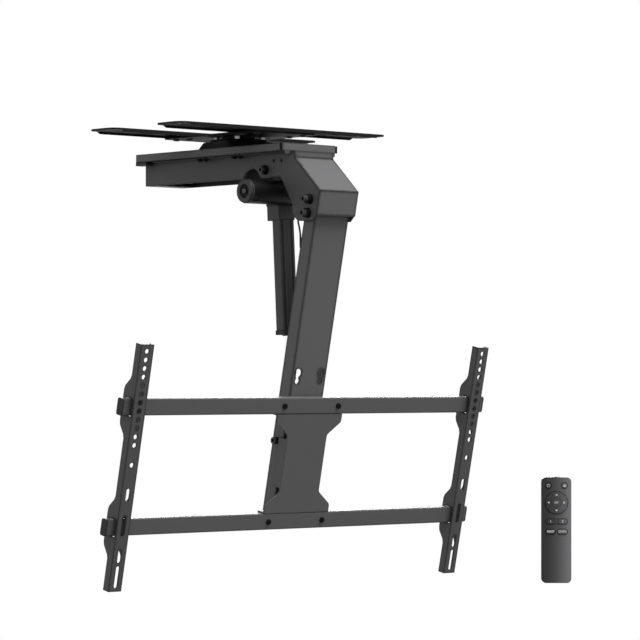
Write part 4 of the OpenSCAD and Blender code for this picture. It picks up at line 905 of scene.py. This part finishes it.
# The actuator's lead: it leaves a grommet behind the arm's front, loops out over the channel's
# edge, comes back and runs down the corner to its connector
leadSizes = {
    "diameter": 0.0034,
    "sides": 16,
    "loopUnit": 0.0029,
    "loop": ((-9, -3, -5), (-9, 0.5, -4.5), (-9, 4, -4), (-9.2, 7, -3.5), (-9.4, 10, -3.4),
             (-9.4, 13, -4), (-9.4, 14.8, -5.6), (-9.4, 15.1, -7.8), (-9.4, 13.6, -10.6),
             (-9.4, 11.8, -14.2), (-9.4, 10.9, -17), (-9.4, 10.4, -19.6), (-9.4, 9.7, -22.5),
             (-9.4, 8.2, -25), (-9.6, 6.2, -27.6), (-9.9, 3.4, -30.6), (-10.3, 0.7, -34),
             (-10.4, -1.8, -37.6)),
    "runX": -0.03015,
    "runY": -0.010,
    "runTop": 0.12054,
    "runEnd": 0.52808,
    "runPoints": 21,
    "liftAt": 0.3629,        # it lifts over the heads of the upper hook studs
    "lift": 0.0042,
    "liftReach": 0.016,
    "liftSlope": 1.5,        # length of each slope beside the lift, in reaches
    "pointsBetween": 6,
    "grommetRadii": (0.0046, 0.0052, 0.0052, 0.0036, 0.0031, 0.0034, 0.0029, 0.0031, 0.0026, 0.0024,
                     0.00152),
    "grommetHeights": (0, 0.0002, 0.0012, 0.0014, 0.0022, 0.0026, 0.0032, 0.0036, 0.0042, 0.0052,
                       0.0054),
    "grommetSunk": 0.0028,
    "grommetSides": 32,
    "plugOutline": (0.0078, 0.0066, 0.0014, 6),      # width, height, corner, points in a corner
    "plugShares": (0.45, 0.5, 0.56, 0.92, 1.0, 1.0, 0.93, 0.93, 1.0, 1.0, 0.93, 0.93, 1.0, 1.0, 0.95),
    "plugDrops": (-0.003, 0, 0.0018, 0.0024, 0.0032, 0.005, 0.0052, 0.006, 0.0062, 0.0075, 0.0077,
                  0.0085, 0.0087, 0.0135, 0.0142),
    "plugRise": 0.0019,
    "clipDrops": (0.175, 0.262, 0.44, 0.505),
    "clipOuter": (0.0062, 0.0036, 0.0023, 0.0015, 0.0008, 0.0009),
    "clipInner": (0.0062, 0.0033, 0.0016, 0.0005, 0, 0),
    "clipHalf": 0.003,
    "channelFloor": -0.0115,
}


# A smooth curve through the points: each stretch is the cubic whose slopes at its ends are half the
# step between the neighbours on either side
def smoothPath(points, between):
    p = np.concatenate((2 * points[:1] - points[1:2], points, 2 * points[-1:] - points[-2:-1]))
    t = np.linspace(0, 1, between, endpoint=False)[None, :, None]
    a, b, c, d = (p[k:len(p) - 3 + k, None, :] for k in range(4))
    curve = 0.5 * (2 * b + (c - a) * t + (2 * a - 5 * b + 4 * c - d) * t ** 2
                   + (3 * b - a - 3 * c + d) * t ** 3)
    return np.concatenate((curve.reshape(-1, 3), points[-1:]))


def leadRoute(v):
    loop = np.array(v.loop) * v.loopUnit
    down = np.linspace(v.runTop, v.runEnd, v.runPoints)
    past = np.maximum(0, np.abs(down - v.liftAt) / v.liftReach - 1)
    y = v.runY + v.lift * np.maximum(0, 1 - past / v.liftSlope)
    run = np.stack((np.full_like(down, v.runX), y, -down), 1)
    return smoothPath(np.concatenate((loop, run)), v.pointsBetween)


# A tube round a path: the ring's first direction is square to the path and to the channel's width
def tubeGrid(path, radius, sides):
    along = np.gradient(path, axis=0)
    along /= np.linalg.norm(along, axis=1)[:, None]
    u = np.cross(along, rightward)
    u /= np.linalg.norm(u, axis=1)[:, None]
    w = np.cross(along, u)
    angle = ringAngles(sides)
    ring = (np.cos(angle)[None, :, None] * u[:, None, :] + np.sin(angle)[None, :, None] * w[:, None, :])
    return path[:, None, :] + radius * ring


# Outline of a rectangle with round corners, its points in order round it
def roundedOutline(width, height, corner, perCorner=8):
    turn = np.linspace(0, np.pi / 2, perCorner)
    parts = []
    for k, (sx, sy) in enumerate(((1, 1), (-1, 1), (-1, -1), (1, -1))):
        a = turn + k * np.pi / 2
        parts.append(np.stack((sx * (width / 2 - corner) + corner * np.cos(a),
                               sy * (height / 2 - corner) + corner * np.sin(a)), 1))
    return np.concatenate(parts)


# An outline carried upwards: each row is the outline scaled by its share and lifted to its height
def liftedGrid(outline, shares, heights):
    flat = outline[None] * np.asarray(shares, float)[:, None, None]
    lift = np.broadcast_to(np.asarray(heights, float)[:, None, None], flat.shape[:2] + (1,))
    return np.concatenate((flat, lift), 2)


# One line of a saddle's section: a foot, a toe, an arch over the lead, then a toe and a foot again
def archLine(foot, toe, reach, lift, footRise, toeRise, points=13):
    arc = np.linspace(np.pi, 0, points)
    across = np.concatenate(([-foot, -toe], reach * np.cos(arc), [toe, foot]))
    rise = np.concatenate(([footRise, toeRise], lift + reach * np.sin(arc), [toeRise, footRise]))
    return np.stack((across, rise), 1)


def makeLead(values):
    v = Named(**values)
    path = leadRoute(v)
    world = onArm(path)
    piece = addPiece("actuatorLead", "folding_arm", "sheath",
                     [onArm(tubeGrid(path, v.diameter / 2, v.sides))])
    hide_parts("arm_cable")
    # grommet: a flange on the wall and a ribbed cone round the lead
    cone = turned(v.grommetRadii, np.array(v.grommetHeights) - v.grommetSunk, path[0], (0, 1, 0),
                  v.grommetSides)
    grommet = addPiece("leadGrommet", "folding_arm", "rubber", [onArm(cone)])
    # connector: a moulded plug with a neck and grip ribs
    body = liftedGrid(roundedOutline(*v.plugOutline), v.plugShares, -np.array(v.plugDrops))
    body = body + path[-1] + (0, v.plugRise, 0)
    plug = addPiece("leadPlug", "folding_arm", "plastic", [onArm(body)])
    # saddles that hold the lead against the channel's floor
    section = np.concatenate((archLine(*v.clipOuter), archLine(*v.clipInner)[::-1]))
    section = section + (v.runX, v.channelFloor)
    clips = [onArm([np.column_stack((section, np.full(len(section), z - drop)))
                    for z in (-v.clipHalf, v.clipHalf)]) for drop in v.clipDrops]
    holders = addPiece("leadClips", "folding_arm", "plastic", clips)


makeLead(leadSizes)
print("lead made")


# End of the motor: a near-black disc as painted shade in the bell's recess, a bearing nut and two screws
motorEndSizes = {
    "middle": (-0.098, -0.0095, -0.0415),
    "sealWidth": 0.0236,
    "sealDepth": 0.0028,
    "sealShares": (0.45, 0.5, 0.6, 0.82, 0.9, 0.98, 1, 1, 0.45),
    "sealHeights": (0, 0.0004, 0.0012, 0.0012, 0.0006, 0.0008, 0.0004, -0.002, -0.002),
    "nutWidth": 0.0092,
    "nutStand": 0.0012,
    "nutShares": (centreShare, 0.2, 0.45, 0.5, 0.86, 1, 1, centreShare),
    "nutHeights": (-0.0006, -0.0004, -0.0002, 0.0002, 0.0002, -0.0006, -0.003, -0.003),
    "screwWidth": 0.0042,
    "screwHeight": 0.0009,
    "screwKey": 0.002,
    "screwDepth": 0.0006,
    "screwSunk": 0.0002,
    "screwPitch": 0.0165,
    "screwAngle": 0.6,
}


def makeMotorEnd(values):
    v = Named(**values)
    x, y, z = v.middle
    shadeDisc = turned(np.array(v.sealShares) * v.sealWidth / 2, v.sealHeights, (x + v.sealDepth, y, z),
                  leftward)
    addPiece("motorRecessShade", "actuator", "rubber", loops=[onActuator(shadeDisc)])
    bearing = turned(np.array(v.nutShares) * v.nutWidth / 2, v.nutHeights, (x - v.nutStand, y, z),
                     leftward)
    addPiece("motorBearing", "actuator", "hubSteel", [onActuator(bearing)])
    across, up = v.screwPitch * math.cos(v.screwAngle), v.screwPitch * math.sin(v.screwAngle)
    screws = [socketHeadGrid((x + v.screwSunk, y + side * across, z + side * up), leftward, v.screwWidth,
                             v.screwHeight, v.screwKey, v.screwDepth, False) for side in (-1, 1)]
    addPiece("motorEndScrews", "actuator", "fastener", [onActuator(g) for g in screws])


makeMotorEnd(motorEndSizes)
print("motor end made")


# Lower end of the tube: a rubber wiper with two lips round the rod, and the profile's front ribs
tubeEndSizes = {
    "rod": 0.012,
    "gap": 0.0002,
    "capEnd": -0.298,
    "wiperWidth": 0.0195,
    "wiperInner": (0, 0, 0.0006, 0.0012, 0.0022),    # beyond the bore
    "wiperOuter": (-0.0006, 0, 0),                   # beyond the rim
    "wiperHeights": (0, 0.0008, 0.0022, 0.0022, 0.0012, 0.001, 0.0004, -0.0006, -0.0006),
    "ribTop": -0.0905,
    "ribEnd": -0.2895,
    "ribWidth": 0.0062,
    "ribRise": 0.0007,
    "ribAcross": (0, 0.03, 0.12, 0.88, 0.97, 1.0, 1.0, 0.0),
    "ribLifts": (0, 0.6, 1, 1, 0.6, 0, -0.4, -0.4),
    "tubeHalfWidth": 0.017,
    "tubeHalfDepth": 0.012,
    "corner": 0.0035,
}


def makeTubeEnd(values):
    v = Named(**values)
    inner, outer = v.rod / 2 + v.gap, v.wiperWidth / 2
    radii = [*(inner + a for a in v.wiperInner), *(outer + a for a in v.wiperOuter), inner]
    wiper = turned(radii, v.wiperHeights, (0, 0, v.capEnd), downward)
    addPiece("tubeWiper", "actuator", "rubber", loops=[onActuator(wiper)])
    across = v.tubeHalfWidth - v.corner - np.array(v.ribAcross) * v.ribWidth
    y = -v.tubeHalfDepth - np.array(v.ribLifts) * v.ribRise
    ribs = [onActuator([np.stack((side * across, y, np.full(len(y), z)), 1)
                        for z in (v.ribEnd, v.ribTop)]) for side in (1, -1)]
    addPiece("tubeRibs", "actuator", "tube", ribs)


makeTubeEnd(tubeEndSizes)
print("tube end made")


# Weld beads: a tube round a circle, whose radius and place ripple as the puddles of a weld do
weldSizes = {
    "radius": 0.0292,
    "heights": (-0.0103, -0.0152),
    "bead": 0.0013,
    "ripples": 76,
    "rippleDepth": 0.16,
    "rippleMiddle": 0.5,
    "rows": 608,
    "sides": 12,
    "sharp": 60,
}


def weldGrid(v, height):
    angle, around = ringAngles(v.rows)[:, None], ringAngles(v.sides)[None, :]
    saw = (angle * v.ripples / (2 * np.pi)) % 1.0
    bead = v.bead * (1 + v.rippleDepth * (np.sqrt(saw) - v.rippleMiddle))
    reach = v.radius + bead * np.cos(around)
    return np.stack((reach * np.cos(angle), reach * np.sin(angle), height + bead * np.sin(around)), 2)


def makeWelds(values):
    v = Named(**values)
    addPiece("hubWelds", "ceiling_frame", "weld",
             loops=[weldGrid(v, height) for height in v.heights], sharp=v.sharp)


makeWelds(weldSizes)
print("welds made")


# Power socket: the centre contact, with a rounded tip
socketPinSizes = {
    "place": (0.023, 0.2045, -0.0695),
    "diameter": 0.0019,
    "length": 0.0125,
    "sides": 24,
    "tipRows": 7,
    "tipShare": 0.96,
}


def makeSocketPin(values):
    v = Named(**values)
    r = v.diameter / 2
    turn = np.linspace(0, np.pi / 2 * v.tipShare, v.tipRows)
    radii = [r * centreShare, r, r, *(r * np.cos(turn))]
    heights = [0, 0, v.length / 2, *(v.length - r + r * np.sin(turn))]
    pin = turned(radii, heights, v.place, (0, 1, 0), v.sides)
    addPiece("socketPin", "housing", "brass", [pin])


makeSocketPin(socketPinSizes)
print("socket pin made")


# Signs on the remote: flat strokes and words a tenth of a millimetre proud of their keys
signSizes = {
    "keyFace": -0.010,
    "rise": 0.00012,
    "sunk": 0.00006,
    "arrowReach": 0.0144,
    "arrowWidth": 0.0046,
    "arrowHeight": 0.0032,
    "wordHeight": 0.0036,
    "numberHeight": 0.0046,
    "capitalShare": 0.72,
    "bold": 0.00014,
    "curveSteps": 3,
    "powerRadius": 0.0026,
    "powerStroke": 0.00077,
    "powerArc": (125, 415),
    "powerStem": (0.3, 1.35),                        # in radii above the middle
    "roof": ((-0.0033, 0.0001), (0, 0.0028), (0.0033, 0.0001)),
    "roofStroke": 0.000715,
    "walls": ((-0.0022, 0), (-0.0022, -0.0023), (0.0022, -0.0023), (0.0022, 0)),
    "ringHeight": 0.0499,
    "smallHeight": 0.08096,
    "smallAcross": 0.014445,
    "rowAcross": 0.0107,
    "rowHeights": (0.0160, -0.0024),
}


# A stroke along a flat path: each row is the rectangle that stands across the path
def strokeGrid(path, width, near, far, closed=False):
    path = np.asarray(path, float)
    step = np.roll(path, -1, 0) - np.roll(path, 1, 0) if closed else np.gradient(path, axis=0)
    step /= np.linalg.norm(step, axis=1)[:, None]
    side = np.stack((-step[:, 1], step[:, 0]), 1) * width / 2
    corners = ((path + side, near), (path - side, near), (path - side, far), (path + side, far))
    return np.stack([np.insert(points, 1, depth, 1) for points, depth in corners], 1)


# A flat solid from its outline, between two depths of the remote's face
def plateGrid(outline, near, far):
    return np.stack([np.insert(np.asarray(outline, float), 1, depth, 1) for depth in (near, far)])


def arcPath(middle, radius, start, end, points=24):
    turn = np.radians(np.linspace(start, end, points))
    return np.stack((middle[0] + radius * np.cos(turn), middle[1] + radius * np.sin(turn)), 1)


# A word as a mesh: the letters' x runs along the face, their y upwards and their depth outwards
def addWord(name, words, height, middle, body, v):
    curve = bpy.data.curves.new(name, "FONT")
    curve.body = words
    curve.size = height / v.capitalShare
    curve.align_x = "CENTER"
    curve.align_y = "CENTER"
    curve.extrude = (v.rise + v.sunk) / 2
    curve.offset = v.bold
    curve.resolution_u = v.curveSteps
    draft = addObject(name + "Draft", curve)
    bpy.context.view_layer.update()
    mesh = bpy.data.meshes.new_from_object(draft.evaluated_get(bpy.context.evaluated_depsgraph_get()))
    bpy.data.objects.remove(draft)
    points = np.empty(len(mesh.vertices) * 3)
    mesh.vertices.foreach_get("co", points)
    x, y, z = points.reshape(-1, 3).T
    depth = v.keyFace - (v.rise - v.sunk) / 2
    placed = onRemote(np.stack((x + middle[0], depth - z, y + middle[1]), 1))
    mesh.vertices.foreach_set("co", placed.ravel())
    mesh.update()
    return finishPiece(name, mesh, body, "ink")


def makeSigns(values):
    v = Named(**values)
    near, far = v.keyFace - v.rise, v.keyFace + v.sunk
    tip, foot = v.arrowReach + v.arrowHeight / 2, v.arrowReach - v.arrowHeight / 2
    corners = np.array(((tip, 0), (foot, v.arrowWidth / 2), (foot, -v.arrowWidth / 2)))
    arrows = []
    for k in range(4):
        c, s = math.cos(k * math.pi / 2), math.sin(k * math.pi / 2)
        outline = corners @ np.array(((c, s), (-s, c))) + (0, v.ringHeight)
        arrows.append(plateGrid(outline, near, far))
    x, z = -v.smallAcross, v.smallHeight
    arc = arcPath((x, z), v.powerRadius, *v.powerArc)
    stem = [(x, z + v.powerRadius * share) for share in v.powerStem]
    power = [strokeGrid(path, v.powerStroke, near, far) for path in (arc, stem)]
    roof = np.array(v.roof) + (-x, z)
    house = [plateGrid(np.concatenate((roof, roof[::-1] - (0, v.roofStroke))), near, far),
             plateGrid(np.array(v.walls) + (-x, z), near, far)]
    for name, body, grids in (("arrowSigns", "direction_key", arrows), ("powerSign", "power_key", power),
                              ("homeSign", "home_key", house)):
        addPiece(name, body, "ink", [onRemote(grid) for grid in grids])
    upper, lower = v.rowHeights
    left, right = -v.rowAcross, v.rowAcross
    for name, words, height, middle, body in (
            ("okSign", "OK", v.wordHeight, (0, v.ringHeight), "middle_key"),
            ("oneSign", "1", v.numberHeight, (left, upper), "left_key"),
            ("twoSign", "2", v.numberHeight, (right, upper), "right_key"),
            ("resetSign", "RESET", v.wordHeight, (left, lower), "lower_left_key"),
            ("startSign", "START", v.wordHeight, (right, lower), "lower_right_key")):
        addWord(name, words, height, middle, body, v)


makeSigns(signSizes)
print("signs made")


# Grooves round the keys: near-black lines on the face of the front shell, painted shade in the grooves
grooveSizes = {
    "face": -0.009,
    "rise": 0.00008,
    "sunk": 0.0003,
    "width": 0.0007,
    "clear": 0.0007,
    "ringRadius": 0.020,
    "ringArc": (0, 356, 90),                         # degrees and points
    "smallRadius": 0.005,
    "smallArc": (0, 352, 45),
    "pillWidth": 0.017,
    "pillHeight": 0.0085,
    "pillInset": 0.0002,
    "pillPoints": 14,
}


def makeGrooves(values, signs):
    v, s = Named(**values), Named(**signs)
    near, far = v.face - v.rise, v.face + v.sunk
    width, height = v.pillWidth + 2 * v.clear, v.pillHeight + 2 * v.clear
    corner = height / 2 - v.pillInset
    upper, lower = s.rowHeights
    paths = [arcPath((0, s.ringHeight), v.ringRadius + v.clear, *v.ringArc)]
    paths += [arcPath((side * s.smallAcross, s.smallHeight), v.smallRadius + v.clear, *v.smallArc)
              for side in (-1, 1)]
    paths.append(roundedOutline(width + 2 * s.rowAcross, height, corner, v.pillPoints) + (0, upper))
    paths += [roundedOutline(width, height, corner, v.pillPoints) + (side * s.rowAcross, lower)
              for side in (-1, 1)]
    loops = [onRemote(strokeGrid(path, v.width, near, far, True)) for path in paths]
    addPiece("keyGrooveShade", "ceiling_frame", "grooveShade", loops=loops)


makeGrooves(grooveSizes, signSizes)
print("grooves made")


# Rear of the remote: grip ribs on the battery door; at its top the dark lens
remoteTrimSizes = {
    "firstRib": -0.0137,
    "ribCount": 6,
    "ribPitch": 0.0024,
    "ribOutline": (0.016, 0.001, 0.00049, 5),        # width, height, corner, points in a corner
    "ribShares": (1, 1, 0.9),
    "ribHeights": (-0.0003, 0.0003, 0.0005),
    "rear": 0.009,
    "lensOutline": (0.014, 0.006, 0.0028, 8),
    "lensShares": (1, 1, 0.96, 0.8, 0.4),
    "lensHeights": (-0.0004, 0.0001, 0.0005, 0.0008, 0.0010),
    "lensPlace": (0, 0.0005, 0.09525),
}


def makeRemoteTrim(values):
    v = Named(**values)
    rib = liftedGrid(roundedOutline(*v.ribOutline), v.ribShares, v.ribHeights)[..., (0, 2, 1)]
    ribs = [onRemote(rib + (0, v.rear, v.firstRib - k * v.ribPitch)) for k in range(v.ribCount)]
    addPiece("doorRibs", "ceiling_frame", "remoteBack", ribs)
    lens = liftedGrid(roundedOutline(*v.lensOutline), v.lensShares, v.lensHeights)
    addPiece("remoteLens", "ceiling_frame", "lens", [onRemote(lens + v.lensPlace)])


makeRemoteTrim(remoteTrimSizes)
print("remote finished")
